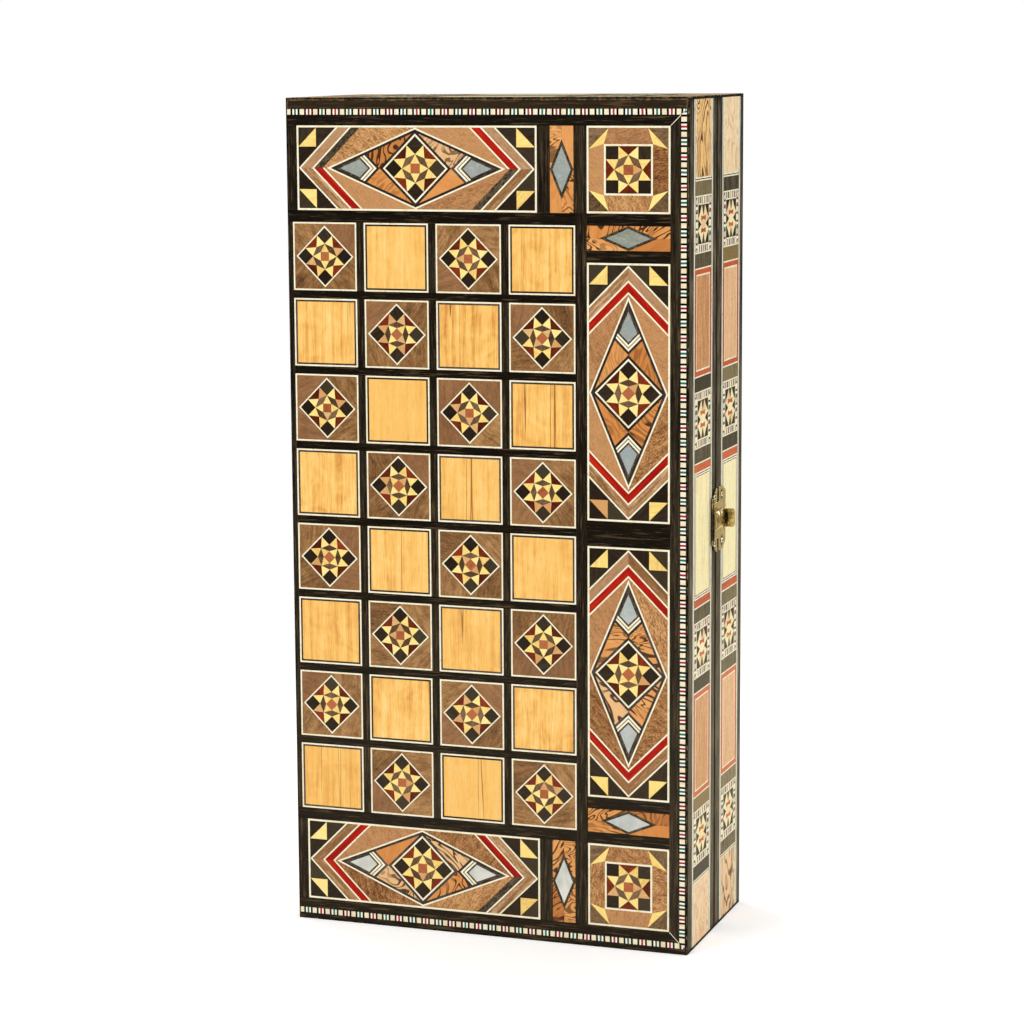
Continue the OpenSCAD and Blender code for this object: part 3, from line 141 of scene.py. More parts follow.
class Graph:
    """Node tree of a material or of the world, with short calls for the nodes used here."""

    def __init__(self, owner: bpy.types.Material | bpy.types.World) -> None:
        """Empties a node tree.

        Args:
            owner: The material or the world that has it.
        """
        self.owner = owner
        owner.use_nodes = True
        self.tree = owner.node_tree
        self.tree.nodes.clear()

    def feed(self, target: Socket, value: object) -> None:
        """Links a socket to the target, or sets a constant on it.

        Args:
            target: Socket that takes the value.
            value: Another socket, or a constant, with no alpha if it is a colour.
        """
        if isinstance(value, bpy.types.NodeSocket):
            self.tree.links.new(value, target)
        elif target.type == "RGBA":
            target.default_value = (*value[:3], 1.0)
        else:
            target.default_value = value

    def node(
        self, kind: str, inputs: dict[str | int, object] | None = None, **settings: object
    ) -> bpy.types.Node:
        """Adds a node.

        Args:
            kind: Type of the node, such as ShaderNodeMath.
            inputs: What goes into its sockets, a socket or a constant each.
            settings: Its properties.

        Returns:
            The new node.
        """
        made = self.tree.nodes.new(kind)
        for key, value in settings.items():
            setattr(made, key, value)
        for key, value in (inputs or {}).items():
            self.feed(made.inputs[key], value)
        return made

    def math(self, operation: str, a: Value, b: Value = 0.0, c: Value = 0.0) -> Socket:
        """Result of a math node."""
        return self.node("ShaderNodeMath", {0: a, 1: b, 2: c}, operation=operation).outputs[0]

    def times(self, a: Value, b: Value) -> Socket:
        """Their product."""
        return self.math("MULTIPLY", a, b)

    def plus(self, a: Value, b: Value) -> Socket:
        """Their sum."""
        return self.math("ADD", a, b)

    def minus(self, a: Value, b: Value) -> Socket:
        """The first less the second."""
        return self.math("SUBTRACT", a, b)

    def from_half(self, a: Value) -> Socket:
        """How far the value is from a half, on either side."""
        return self.math("ABSOLUTE", self.minus(a, 0.5))

    def clamped(self, a: Value) -> Socket:
        """The value held between 0 and 1."""
        return self.node("ShaderNodeClamp", {0: a}).outputs[0]

    def swing(self, a: Value, strength: float) -> Socket:
        """How far the value is from a half, times the strength."""
        return self.math("MULTIPLY_ADD", a, strength, -strength / 2)

    def step(self, a: Value, begin: float, full: float) -> Socket:
        """Rises smoothly from 0 to 1.

        Args:
            a: The value.
            begin: Where it still gives 0, above or below the other end.
            full: Where it gives 1.

        Returns:
            A value from 0 to 1.
        """
        return self.node(
            "ShaderNodeMapRange", {0: a, 1: begin, 2: full}, interpolation_type="SMOOTHSTEP"
        ).outputs[0]

    def vector(self, operation: str, a: object, b: object = None, scale: Value | None = None) -> Socket:
        """Result of a vector math node.

        Args:
            operation: What it does.
            a: First vector.
            b: Second vector, where it takes two.
            scale: Factor, where it takes one.

        Returns:
            A vector, or a value for a dot product or a length.
        """
        inputs = {0: a}
        if b is not None:
            inputs[1] = b
        if scale is not None:
            inputs["Scale"] = scale
        made = self.node("ShaderNodeVectorMath", inputs, operation=operation)
        return made.outputs["Value" if operation in ("DOT_PRODUCT", "LENGTH") else "Vector"]

    def mix(self, factor: Value, a: object, b: object) -> Socket:
        """Mixes two colours.

        Args:
            factor: Share of the second one, from 0 to 1.
            a: First colour.
            b: Second colour.

        Returns:
            The mixed colour.
        """
        made = self.node("ShaderNodeMix", data_type="RGBA")
        colours = [s for s in made.inputs if s.type == "RGBA"]
        for target, value in zip([made.inputs[0], *colours], [factor, a, b]):
            self.feed(target, value)
        return [s for s in made.outputs if s.type == "RGBA"][0]

    def stained(self, colour: object, tone: Colour, where: Value, share: float) -> Socket:
        """The colour, with the tone over it at most by that share."""
        return self.mix(self.times(where, share), colour, tone)

    def ramp(self, factor: Value, stops: list[tuple[float, Colour]], constant: bool = False) -> Socket:
        """Colour ramp.

        Args:
            factor: Place on the ramp, from 0 to 1.
            stops: Places on the ramp with their colours.
            constant: Whether a colour holds up to the next stop and doesn't blend into it.

        Returns:
            The colour at that place.
        """
        made = self.node("ShaderNodeValToRGB", {0: factor})
        ramp = made.color_ramp
        ramp.interpolation = "CONSTANT" if constant else "LINEAR"
        while len(ramp.elements) < len(stops):
            ramp.elements.new(1.0)
        for element, (at, colour) in zip(ramp.elements, stops):
            element.position = at
            element.color = (*colour, 1.0)
        return made.outputs[0]

    def noise(
        self, place: Socket, scale: float, detail: float = 2.0, rough: float = 0.5, twist: float = 0.0
    ) -> Socket:
        """Value of a noise texture, between 0 and 1.

        Args:
            place: Coordinates in millimetres.
            scale: Waves for each millimetre.
            detail: How many finer layers are added.
            rough: How strong each finer layer is.
            twist: How far the noise is warped by itself.

        Returns:
            The value.
        """
        return self.node(
            "ShaderNodeTexNoise",
            {"Vector": place, "Scale": scale, "Detail": detail, "Roughness": rough, "Distortion": twist},
        ).outputs[0]

    def attribute(self, name: str, vector: bool = False) -> Socket:
        """An attribute of the mesh, as a value or as a vector."""
        made = self.node("ShaderNodeAttribute", attribute_name=name)
        return made.outputs["Vector" if vector else "Fac"]

    def place(self) -> Socket:
        """The piece's own coordinates, in millimetres."""
        coordinates = self.node("ShaderNodeTexCoord").outputs["Object"]
        return self.vector("SCALE", coordinates, scale=1000.0)

    def shift(self) -> Socket:
        """How far a chip's figure is moved away from those of the other chips."""
        return self.vector("SCALE", SEED_STEP_MM, scale=self.attribute("seed"))

    def squeezed(self, place: Socket, along: Socket | Point, stretch: float) -> Socket:
        """Draws a place together along the grain, so that a noise in it turns into streaks.

        With d the direction of the grain, the place p becomes p + (p . d) (1 / stretch - 1) d.

        Args:
            place: Coordinates in millimetres.
            along: Direction of the grain.
            stretch: How many times longer than wide the streaks are.

        Returns:
            The new coordinates.
        """
        run = self.vector("DOT_PRODUCT", place, along)
        back = self.vector("SCALE", along, scale=self.times(run, 1 / stretch - 1))
        return self.vector("ADD", place, back)

    def edge(self, place: Socket) -> Socket:
        """Distance to the nearest outer edge of the shut case, in millimetres.

        It is the second smallest of the distances to the case's faces.

        Args:
            place: Coordinates in millimetres.

        Returns:
            The distance.
        """
        offset = self.vector("ABSOLUTE", self.vector("SUBTRACT", place, CASE_MIDDLE_MM))
        half = tuple(size / 2 for size in CASE_SIZE_MM)
        apart = self.node("ShaderNodeSeparateXYZ", {0: self.vector("SUBTRACT", half, offset)}).outputs
        low = self.math("MINIMUM", apart[0], apart[1])
        high = self.math("MAXIMUM", apart[0], apart[1])
        return self.math("MAXIMUM", low, self.math("MINIMUM", high, apart[2]))

    def spot(self, place: Socket, middle: Point, reach: Point) -> Socket:
        """A spot with soft edges: 1 in its middle, 0 where the place is out of reach.

        Args:
            place: Coordinates in millimetres.
            middle: Middle of the spot.
            reach: How far it reaches along each axis.

        Returns:
            A value from 0 to 1.
        """
        offset = self.vector("DIVIDE", self.vector("SUBTRACT", place, middle), reach)
        return self.step(self.vector("LENGTH", offset), *SPOT_RIM)

    def rubbed(self, place: Socket, width_mm: Value) -> Socket:
        """How far a place is rubbed bare along the outer edges of the shut case.

        Args:
            place: Coordinates in millimetres.
            width_mm: Usual width of the rubbed line.

        Returns:
            A value from 0 to 1.
        """
        wander = self.swing(self.noise(place, 0.22, detail=5.0, rough=0.7, twist=0.8), RUB_WANDER_MM)
        reach = self.math("MULTIPLY_ADD", width_mm, 0.5, wander)
        return self.step(self.minus(reach, self.edge(place)), *RUB_EDGE_MM)

    def bump(self, height: Socket, depth_mm: float, strength: float) -> Socket:
        """Normal of a surface in relief.

        Args:
            height: Height of the relief, where 1 is its full depth.
            depth_mm: Its full depth.
            strength: How much of it shows.

        Returns:
            The normal.
        """
        return self.node(
            "ShaderNodeBump", {"Height": height, "Distance": depth_mm * MM, "Strength": strength}
        ).outputs[0]

    def surface(self, **inputs: object) -> bpy.types.Material:
        """Ends the graph with a principled shader.

        Args:
            inputs: Its sockets, with _ for a blank in a name.

        Returns:
            The material.
        """
        shader = self.node("ShaderNodeBsdfPrincipled")
        for key, value in inputs.items():
            self.feed(shader.inputs[key.replace("_", " ")], value)
        self.node("ShaderNodeOutputMaterial", {"Surface": shader.outputs[0]})
        return self.owner


# Finishes

# Each pair is where a feature of a wood begins and where it is full
WORM_LINE = (0.11, 0.02)
LACE_SPECK = (0.55, 0.70)
VEIN_LINE = (0.1, 0.8)
VEIN_HAZE = (0.0, 0.9)
VEIN_PATCH = (0.34, 0.5)
VEIN_CHIP = (0.05, 0.4)
CRACK_LINE = (0.013, 0.004)
CRACK_PATCH = (0.59, 0.64)
PORE = (0.60, 0.72)
SCRATCH = (0.54, 0.66)
# Painted shade in the seam between the two halves
SEAM_SHADE_MM = (2.6, 0.8)
# Sizes of features that are the same in every wood
EDGE_DIRT_MM = 0.5
CURL_MM = 1.4
CRACK_MM = 6.0
CRACK_PATCH_MM = 15.0
# How many of a feature lie in a millimetre, in a streak or in a wave
PORES_PER_MM = 3.2
SPECKS_PER_MM = 1.2
SCRATCHES_PER_MM = 0.9
CLOUDS_PER_MM = 0.1
VEIN_PATCHES_PER_MM = 0.07
FIBRES_IN_STREAK = 5.5
VEIN_RINGS = 84.0
# How far the figure is drawn out along the grain
SHORT_STRETCH = 2.6
CRACK_STRETCH = 60.0
# How strong a feature is
CURL_LEVEL = 0.35
VEIN_HAZE_SHARE = 0.5
# How strong dirt and painted shade are
DIRT_AND_SHADE_SHARE = 0.85
RUBBED_SHARE = 0.8
SCRATCH_SHARE = 0.3
ROUGH_SWING = 0.12
PORE_DEPTH = 0.6


@dataclass(frozen=True)
class Finish:
    """A finish that can be turned into a material."""

    name: str

    def material(self) -> bpy.types.Material:
        """Makes the material, or finds it where it has been made before.

        Returns:
            The material.
        """
        name = f"finish_{self.name}"
        found = bpy.data.materials.get(name)
        return found if found else self.build(Graph(bpy.data.materials.new(name)))

    def build(self, graph: Graph) -> bpy.types.Material:
        """Draws the finish.

        Args:
            graph: Empty graph of a new material.

        Returns:
            The material.
        """
        raise NotImplementedError


@dataclass(frozen=True)
class Wood(Finish):
    """Lacquered wood with a figure.

    dark, middle and light are the tones of the wood, odd is the tone of an odd chip, and grain is
    a fixed direction for a piece that has no chips. Strengths go from 0 up:
    spread: how far chips differ in tone, vary: how far they differ in the force of their figure.
    streaks and fibre run along the grain, curl is short worm-like flecks, lace is pale specks,
    mottle is broad clouds, veins are wavy dark lines, cracks are hairlines along the grain and
    pores are dark dashes. wear is the width in mm that is rubbed bare along the outer edges of
    the case, and handled is how much wider that is on an odd chip. grime_mm is how far dirt
    reaches from those edges; it also turns on painted shade in the seam between the two halves
    and takes away the shine. shadow_spot_mm is a painted shadow, its middle and its reach.
    """

    dark: Colour
    middle: Colour
    light: Colour
    odd: Colour = (0.3, 0.2, 0.1)
    pore: Colour = (0.03, 0.015, 0.008)
    vein: Colour = (0.15, 0.05, 0.02)
    bare: Colour = (0.30, 0.21, 0.12)
    spread: float = 0.5
    vary: float = 0.0
    streaks: float = 0.6
    fibre: float = 0.3
    curl: float = 0.0
    lace: float = 0.0
    mottle: float = 0.0
    veins: float = 0.0
    cracks: float = 0.0
    wear: float = 0.0
    handled: float = 0.0
    grime_mm: float = 0.0
    shadow_spot_mm: tuple[Point, Point] | None = None
    pores: float = 0.3
    streak_mm: float = 2.2
    stretch: float = 14.0
    vein_mm: float = 14.0
    shine: float = 0.4
    roughness: float = 0.26
    depth_mm: float = 0.012
    grain: Point | None = None

    def relief(self, g: Graph, loose: Socket, lines: Socket, short: Socket, fibre: Socket) -> Socket:
        """How much lighter or darker than its chip a place is.

        Args:
            g: Graph of the material.
            loose: Place, moved away from chip to chip.
            lines: The same, squeezed far along the grain.
            short: The same, squeezed a little along the grain.
            fibre: Noise of the fine fibre.

        Returns:
            A value around 0.
        """
        streak = g.noise(lines, 1 / self.streak_mm, detail=3.0, rough=0.6, twist=0.4)
        relief = g.plus(g.swing(streak, 2 * self.streaks), g.swing(fibre, self.fibre))
        if self.curl:
            worm = g.noise(short, 1 / CURL_MM, detail=1.0, twist=1.2)
            ridge = g.step(g.from_half(worm), *WORM_LINE)
            relief = g.plus(relief, g.math("MULTIPLY_ADD", ridge, self.curl, -CURL_LEVEL * self.curl))
        if self.lace:
            speck = g.step(g.noise(loose, SPECKS_PER_MM, rough=0.6, twist=1.0), *LACE_SPECK)
            relief = g.math("MULTIPLY_ADD", speck, self.lace, relief)
        if self.mottle:
            cloud = g.noise(loose, CLOUDS_PER_MM, twist=0.8)
            relief = g.plus(relief, g.swing(cloud, 2 * self.mottle))
        if self.vary:
            force = g.math("MULTIPLY_ADD", g.attribute("vivid"), 2 * self.vary, 1 - self.vary)
            relief = g.times(relief, force)
        return relief

    def toned(self, g: Graph, level: Socket, chips: bool) -> Socket:
        """Colour of the wood without its pores and marks.

        Args:
            g: Graph of the material.
            level: 0 where the wood is dark, 1 where it is light.
            chips: Whether the piece has chips, of which some take the odd tone.

        Returns:
            The colour.
        """
        colour = g.ramp(level, [(0.0, self.dark), (0.5, self.middle), (1.0, self.light)])
        if not chips:
            return colour
        ends = [tuple((a + b) / 2 for a, b in zip(end, self.odd)) for end in (self.dark, self.light)]
        tinted = g.ramp(level, [(0.0, ends[0]), (0.5, self.odd), (1.0, ends[1])])
        return g.mix(g.attribute("odd"), colour, tinted)

    def vein_lines(self, g: Graph, loose: Socket, short: Socket) -> Socket:
        """How strong the wavy dark lines are, bold in some patches and faint in the others.

        Args:
            g: Graph of the material.
            loose: Place, moved away from chip to chip.
            short: The same, squeezed a little along the grain.

        Returns:
            A value from 0 to about 1.
        """
        ring = g.math("SINE", g.times(g.noise(short, 1 / self.vein_mm, twist=0.7), VEIN_RINGS))
        patch = g.noise(loose, VEIN_PATCHES_PER_MM, detail=1.0)
        bold = g.times(g.step(ring, *VEIN_LINE), g.step(patch, *VEIN_PATCH))
        soft = g.times(g.step(ring, *VEIN_HAZE), VEIN_HAZE_SHARE)
        line = g.times(g.math("MAXIMUM", bold, soft), self.veins)
        if self.vary:
            line = g.times(line, g.step(g.attribute("vivid"), *VEIN_CHIP))
        return line

    def crack_lines(self, g: Graph, far: Socket, lines: Socket) -> Socket:
        """How strong the hairline cracks are, which come in patches.

        Args:
            g: Graph of the material.
            far: Place, squeezed very far along the grain.
            lines: The same, squeezed less far.

        Returns:
            A value from 0 to 1.
        """
        split = g.noise(far, 1 / CRACK_MM, detail=1.0)
        where = g.step(g.noise(lines, 1 / CRACK_PATCH_MM, detail=1.0), *CRACK_PATCH)
        return g.times(g.step(g.from_half(split), *CRACK_LINE), where)

    def worn(self, g: Graph, colour: Socket, place: Socket, lines: Socket) -> Socket:
        """Rubs the colour bare along the outer edges and scratches it.

        Args:
            g: Graph of the material.
            colour: Colour before the wear.
            place: Coordinates in millimetres.
            lines: Place, squeezed far along the grain.

        Returns:
            The colour after it.
        """
        width = g.math("MULTIPLY_ADD", g.attribute("odd"), self.handled, self.wear)
        colour = g.stained(colour, self.bare, g.rubbed(place, width), share=RUBBED_SHARE)
        scratch = g.step(g.noise(lines, SCRATCHES_PER_MM, detail=3.0, rough=0.7), *SCRATCH)
        return g.stained(colour, self.bare, scratch, share=SCRATCH_SHARE)

    def dirt(self, g: Graph, place: Socket) -> Socket:
        """Dirt along the outer edges, and painted shade in the seam between the halves and in the spot.

        Args:
            g: Graph of the material.
            place: Coordinates in millimetres.

        Returns:
            A value from 0 to 1.
        """
        apart = g.math("ABSOLUTE", g.vector("DOT_PRODUCT", place, THROUGH))
        rim = g.step(g.edge(place), self.grime_mm, EDGE_DIRT_MM)
        # The rim is dirt; the seam and the spot are painted shade
        dirt = g.math("MAXIMUM", rim, g.step(apart, *SEAM_SHADE_MM))
        return g.math("MAXIMUM", dirt, g.spot(place, *self.shadow_spot_mm)) if self.shadow_spot_mm else dirt

    def build(self, graph: Graph) -> bpy.types.Material:
        """Draws the wood: its figure in the tone of the chip, then dirt and painted shade, wear and
        scratches.

        Args:
            graph: Empty graph of a new material.

        Returns:
            The material.
        """
        g = graph
        place = g.place()
        chips = self.grain is None
        along = g.attribute("grain", vector=True) if chips else self.grain
        shift = g.shift()
        loose = g.vector("ADD", place, shift)
        lines = g.vector("ADD", g.squeezed(place, along, self.stretch), shift)
        short = g.vector("ADD", g.squeezed(place, along, SHORT_STRETCH), shift)
        fibre = g.noise(lines, FIBRES_IN_STREAK / self.streak_mm, detail=3.0, rough=0.65)

        level = g.plus(self.relief(g, loose, lines, short, fibre), 0.5)
        if chips:
            level = g.plus(level, g.swing(g.attribute("tone"), self.spread))
        colour = self.toned(g, g.clamped(level), chips)
        if self.veins:
            colour = g.mix(self.vein_lines(g, loose, short), colour, self.vein)
        if self.cracks:
            far = g.vector("ADD", g.squeezed(place, along, CRACK_STRETCH), shift)
            colour = g.stained(colour, self.pore, self.crack_lines(g, far, lines), share=self.cracks)
        pore = g.step(g.noise(lines, PORES_PER_MM, detail=1.0), *PORE)
        colour = g.stained(colour, self.pore, pore, share=self.pores)
        shine: Value = self.shine
        if self.grime_mm:
            # Dirt along the edges, with painted shade in the seam and a painted shadow round the clasp
            dirt = self.dirt(g, place)
            colour = g.stained(colour, self.pore, dirt, share=DIRT_AND_SHADE_SHARE)
            shine = g.math("MULTIPLY_ADD", dirt, -self.shine, self.shine)
        if self.wear or self.handled:
            colour = self.worn(g, colour, place, lines)
        rough = g.plus(g.swing(fibre, ROUGH_SWING), self.roughness)
        height = g.minus(fibre, g.times(pore, PORE_DEPTH))
        return g.surface(
            Base_Color=colour,
            Roughness=rough,
            Normal=g.bump(height, depth_mm=self.depth_mm, strength=0.6),
            Specular_IOR_Level=shine,
        )


@dataclass(frozen=True)
class Bone(Finish):
    """Polished bone, cream white with faint streaks, darker lengths and small pores."""

    pale: Colour = srgb(252, 246, 220)
    warm: Colour = srgb(240, 222, 174)
    pore: Colour = srgb(150, 124, 84)
    stain: float = 0.4
    shine: float = 0.4
    roughness: float = 0.24

    def build(self, graph: Graph) -> bpy.types.Material:
        """Draws the bone: clouds and streaks of a warmer tone, with grime in its pores.

        Args:
            graph: Empty graph of a new material.

        Returns:
            The material.
        """
        g = graph
        place = g.place()
        loose = g.vector("ADD", place, g.shift())
        cloud = g.noise(loose, 0.14, detail=3.0, rough=0.6, twist=0.5)
        streak = g.noise(loose, 1.2, detail=3.0, rough=0.6)
        level = g.plus(g.times(cloud, 0.8), g.times(streak, 0.45))
        colour = g.mix(g.step(level, 0.5, 0.9), self.pale, self.warm)
        grime = g.step(g.noise(loose, 0.5, detail=4.0, rough=0.7, twist=0.5), 0.56, 0.70)
        colour = g.stained(colour, self.pore, grime, share=self.stain)
        return g.surface(
            Base_Color=colour,
            Roughness=self.roughness,
            Normal=g.bump(streak, depth_mm=0.006, strength=0.5),
            Specular_IOR_Level=self.shine,
        )


PEARL_RINGS = 70.0


@dataclass(frozen=True)
class Pearl(Finish):
    """Mother of pearl, blue-grey with a play of green and rose that follows its layers.

    stops are its tones from the foot of the board to its head, a painted light that is brighter towards the
    foot.
    """

    stops: tuple[tuple[float, Colour], ...] = (
        (0.0, srgb(226, 226, 214)),
        (0.22, srgb(198, 201, 198)),
        (0.5, srgb(152, 159, 161)),
        (0.85, srgb(152, 156, 150)),
        (1.0, srgb(134, 134, 114)),
    )
    green: Colour = srgb(150, 168, 158)
    rose: Colour = srgb(180, 168, 168)
    white: Colour = srgb(222, 228, 228)
    roughness: float = 0.2

    def build(self, graph: Graph) -> bpy.types.Material:
        """Draws the pearl: its tone by height, which is painted light, then green, rose and painted white
        glints on its layers.

        Args:
            graph: Empty graph of a new material.

        Returns:
            The material.
        """
        g = graph
        place = g.place()
        loose = g.vector("ADD", place, g.shift())
        # Painted light: lighter towards the foot of the board, darker towards its head
        up = g.math("DIVIDE", g.vector("DOT_PRODUCT", place, UP), CASE_SIZE_MM[2])
        sheet = g.noise(loose, 0.07, twist=1.2)
        layer = g.math("SINE", g.times(sheet, PEARL_RINGS))
        fold = g.noise(loose, 0.3, detail=3.0, rough=0.6, twist=0.8)
        colour = g.ramp(g.clamped(g.plus(up, g.swing(g.attribute("tone"), 0.3))), list(self.stops))
        colour = g.stained(colour, self.green, g.step(sheet, 0.35, 0.55), share=0.3)
        colour = g.stained(colour, self.rose, g.step(sheet, 0.5, 0.7), share=0.35)
        glint = g.times(g.step(layer, 0.0, 1.0), g.step(fold, 0.4, 0.7))
        colour = g.stained(colour, self.white, glint, share=0.28)
        return g.surface(
            Base_Color=colour,
            Roughness=self.roughness,
            Normal=g.bump(layer, depth_mm=0.01, strength=0.35),
            Specular_IOR_Level=0.6,
            Coat_Weight=0.2,
            Coat_Roughness=0.1,
        )


STRING_RIM = (0.43, 0.5)
STRING_WOBBLE = 0.035
STICKS_IN_ROW = 12.0


@dataclass(frozen=True)
class Mosaic(Finish):
    """Mosaic string: sticks of bone, wood and dyed bone set across the string.

    row is one period: the width in mm, the colour and the ageing of each of its sticks. The
    attribute "run" counts periods along the string and "across" goes from 0 to 1 over it.
    """

    row: tuple[tuple[float, Colour, float], ...] = ()
    aged: Colour = srgb(222, 184, 128)
    grime: Colour = srgb(110, 84, 56)
    black: Colour = srgb(14, 9, 5)
    age: float = 0.35
    roughness: float = 0.26

    @property
    def period_mm(self) -> float:
        """Length of one period."""
        return sum(width for width, _, _ in self.row)

    def sticks(self) -> list[tuple[float, Colour, float]]:
        """Lays out one period.

        Returns:
            The place where each stick begins, from 0 to 1, its colour and how far it ages.
        """
        widths = np.array([width for width, _, _ in self.row])
        starts = np.concatenate([[0.0], np.cumsum(widths)[:-1]]) / widths.sum()
        return [(float(s), colour, ages) for s, (_, colour, ages) in zip(starts, self.row)]

    def build(self, graph: Graph) -> bpy.types.Material:
        """Draws the sticks along the string, some of them aged, with dirt and dark rims.

        Args:
            graph: Empty graph of a new material.

        Returns:
            The material.
        """
        g = graph
        place = g.place()
        run = g.plus(g.attribute("run"), g.swing(g.noise(place, 0.09, detail=1.0), STRING_WOBBLE))
        part = g.math("FRACT", run)
        colour = g.ramp(part, [(s, c) for s, c, _ in self.sticks()], constant=True)
        ages = g.ramp(part, [(s, (a, a, a)) for s, _, a in self.sticks()], constant=True)
        stick = g.math("FLOOR", g.times(run, STICKS_IN_ROW))
        chance = g.node("ShaderNodeTexWhiteNoise", {"W": stick}, noise_dimensions="1D").outputs["Value"]
        share = g.times(g.step(chance, 0.35, 1.0), g.times(ages, self.age))
        colour = g.mix(share, colour, self.aged)
        grime = g.noise(place, 1.4, detail=3.0, rough=0.6)
        dirt = g.times(g.step(grime, 0.52, 0.8), g.math("MULTIPLY_ADD", ages, 0.35, 0.05))
        colour = g.mix(dirt, colour, self.grime)
        rim = g.step(g.from_half(g.attribute("across")), *STRING_RIM)
        colour = g.stained(colour, self.black, rim, share=0.5)
        return g.surface(
            Base_Color=colour,
            Roughness=self.roughness,
            Normal=g.bump(grime, depth_mm=0.012, strength=0.5),
            Specular_IOR_Level=0.35,
        )


# Reach of the painted shade in the hollows of the brass
HOLLOW_MM = 1.5
BRASS_EDGE_MM = 0.6
BRASS_DULL = (0.36, 0.62)
BRASS_SPOT = (0.56, 0.70)
BRASS_HOLLOW = (0.95, 0.5)
BRASS_EDGE = (0.985, 0.85)
BRASS_HIGHLIGHT_WEAR = (0.34, 0.5)


@dataclass(frozen=True)
class Brass(Finish):
    """Brass dulled and spotted brown, with painted shade in its hollows and a painted highlight on its
    raised edges, drawn as rubbed brass.

    shade_spots_mm are spots of painted shade, each with its middle and its reach. polished is the tone of
    the painted highlight on the edges, which are found by comparing the normal with that of a
    bevelled surface.
    """

    bright: Colour = srgb(255, 238, 186)
    dull: Colour = srgb(216, 194, 130)
    brown: Colour = srgb(92, 76, 34)
    # Tone of the painted shade
    deep: Colour = srgb(30, 20, 8)
    # Tone of the painted highlight on the edges
    edge_highlight: Colour = srgb(255, 246, 200)
    roughness: float = 0.17
    shade_spots_mm: tuple[tuple[Point, Point], ...] = ()

    def build(self, graph: Graph) -> bpy.types.Material:
        """Draws the brass: dulled in clouds, spotted, painted shade in its hollows, painted highlights on
        its edges.

        Args:
            graph: Empty graph of a new material.

        Returns:
            The material.
        """
        g = graph
        place = g.place()
        cloud = g.noise(place, 0.3, detail=4.0, rough=0.65, twist=0.6)
        speck = g.noise(place, 1.2, detail=4.0, rough=0.65)
        dent = g.noise(place, 0.2, detail=1.0, twist=0.3)
        brushed = g.noise(g.vector("MULTIPLY", place, (1.0, 1.0, 0.08)), 2.0, rough=0.6)
        # Ambient occlusion, for painted shade in the hollows
        hollow = g.node("ShaderNodeAmbientOcclusion", {"Distance": HOLLOW_MM * MM}, samples=8).outputs["AO"]
        tarnish = g.plus(g.swing(speck, 0.8), cloud)
        colour = g.mix(g.step(tarnish, *BRASS_DULL), self.bright, self.dull)
        spot = g.step(g.noise(place, 0.7, detail=4.0, rough=0.7), *BRASS_SPOT)
        colour = g.stained(colour, self.brown, spot, share=0.7)
        # Painted shade: in the hollows and in the given spots
        dark = g.step(hollow, *BRASS_HOLLOW)
        for middle, reach in self.shade_spots_mm:
            dark = g.math("MAXIMUM", dark, g.spot(place, middle, reach))
        # Painted highlight along the edges, broken up like rubbed brass
        round_off = g.node("ShaderNodeBevel", {"Radius": BRASS_EDGE_MM * MM}, samples=6).outputs[0]
        flat = g.node("ShaderNodeNewGeometry").outputs["True Normal"]
        edge = g.step(g.vector("DOT_PRODUCT", round_off, flat), *BRASS_EDGE)
        worn = g.times(edge, g.step(g.noise(place, 0.5, detail=3.0, rough=0.6), *BRASS_HIGHLIGHT_WEAR))
        colour = g.mix(worn, colour, self.edge_highlight)
        # Paints the shade, near black
        colour = g.stained(colour, self.deep, dark, share=0.9)
        # Less metal under the painted highlight, so that it shows bright
        metal = g.math("MULTIPLY_ADD", g.times(worn, g.minus(1.0, dark)), -0.5, 1.0)
        rough = g.math("MULTIPLY_ADD", g.step(tarnish, 0.3, 0.7), 0.14, self.roughness)
        dented = g.bump(dent, depth_mm=0.8, strength=0.7)
        height = g.plus(g.times(brushed, 0.4), speck)
        fine = g.node(
            "ShaderNodeBump",
            {"Height": height, "Distance": 0.008 * MM, "Strength": 0.5, "Normal": dented},
        ).outputs[0]
        return g.surface(Base_Color=colour, Metallic=metal, Roughness=rough, Normal=fine)


EBONY_STRIP = Wood(
    "ebony_strip",
    dark=srgb(8, 5, 2), middle=srgb(26, 19, 11), light=srgb(66, 56, 40),
    odd=srgb(50, 38, 23), pore=srgb(5, 4, 2), bare=srgb(132, 104, 72),
    spread=0.6, fibre=0.8, pores=0.5,
    streak_mm=1.6, stretch=20.0, shine=0.22,
    handled=2.8,
)
EBONY_CHIP = Wood(
    "ebony_chip",
    dark=srgb(20, 13, 8), middle=srgb(44, 32, 22), light=srgb(70, 58, 42),
    odd=srgb(64, 54, 38),
    spread=0.45, streaks=0.4, fibre=0.4, pores=0.4,
    streak_mm=1.4, stretch=10.0, shine=0.25,
)
DARK_ARM = Wood(
    "dark_arm",
    dark=srgb(26, 20, 14), middle=srgb(58, 48, 36), light=srgb(120, 104, 80),
    spread=0.25, streaks=0.45, fibre=0.5, curl=0.4,
    streak_mm=1.8, stretch=5.0, shine=0.25,
)
DARK_LINE = Wood(
    "dark_line",
    dark=srgb(22, 15, 12), middle=srgb(52, 42, 38), light=srgb(110, 98, 96),
    streaks=0.5, fibre=0.4,
    streak_mm=2.4, stretch=6.0, shine=0.25,
)
SIDE_BLOCK = Wood(
    "side_block",
    dark=srgb(12, 10, 7), middle=srgb(62, 56, 42), light=srgb(134, 118, 82),
    odd=srgb(132, 102, 50),
    spread=1.1, streaks=0.7, fibre=0.6, lace=0.25, pores=0.4,
    streak_mm=1.6, stretch=10.0, depth_mm=0.03, shine=0.15,
)
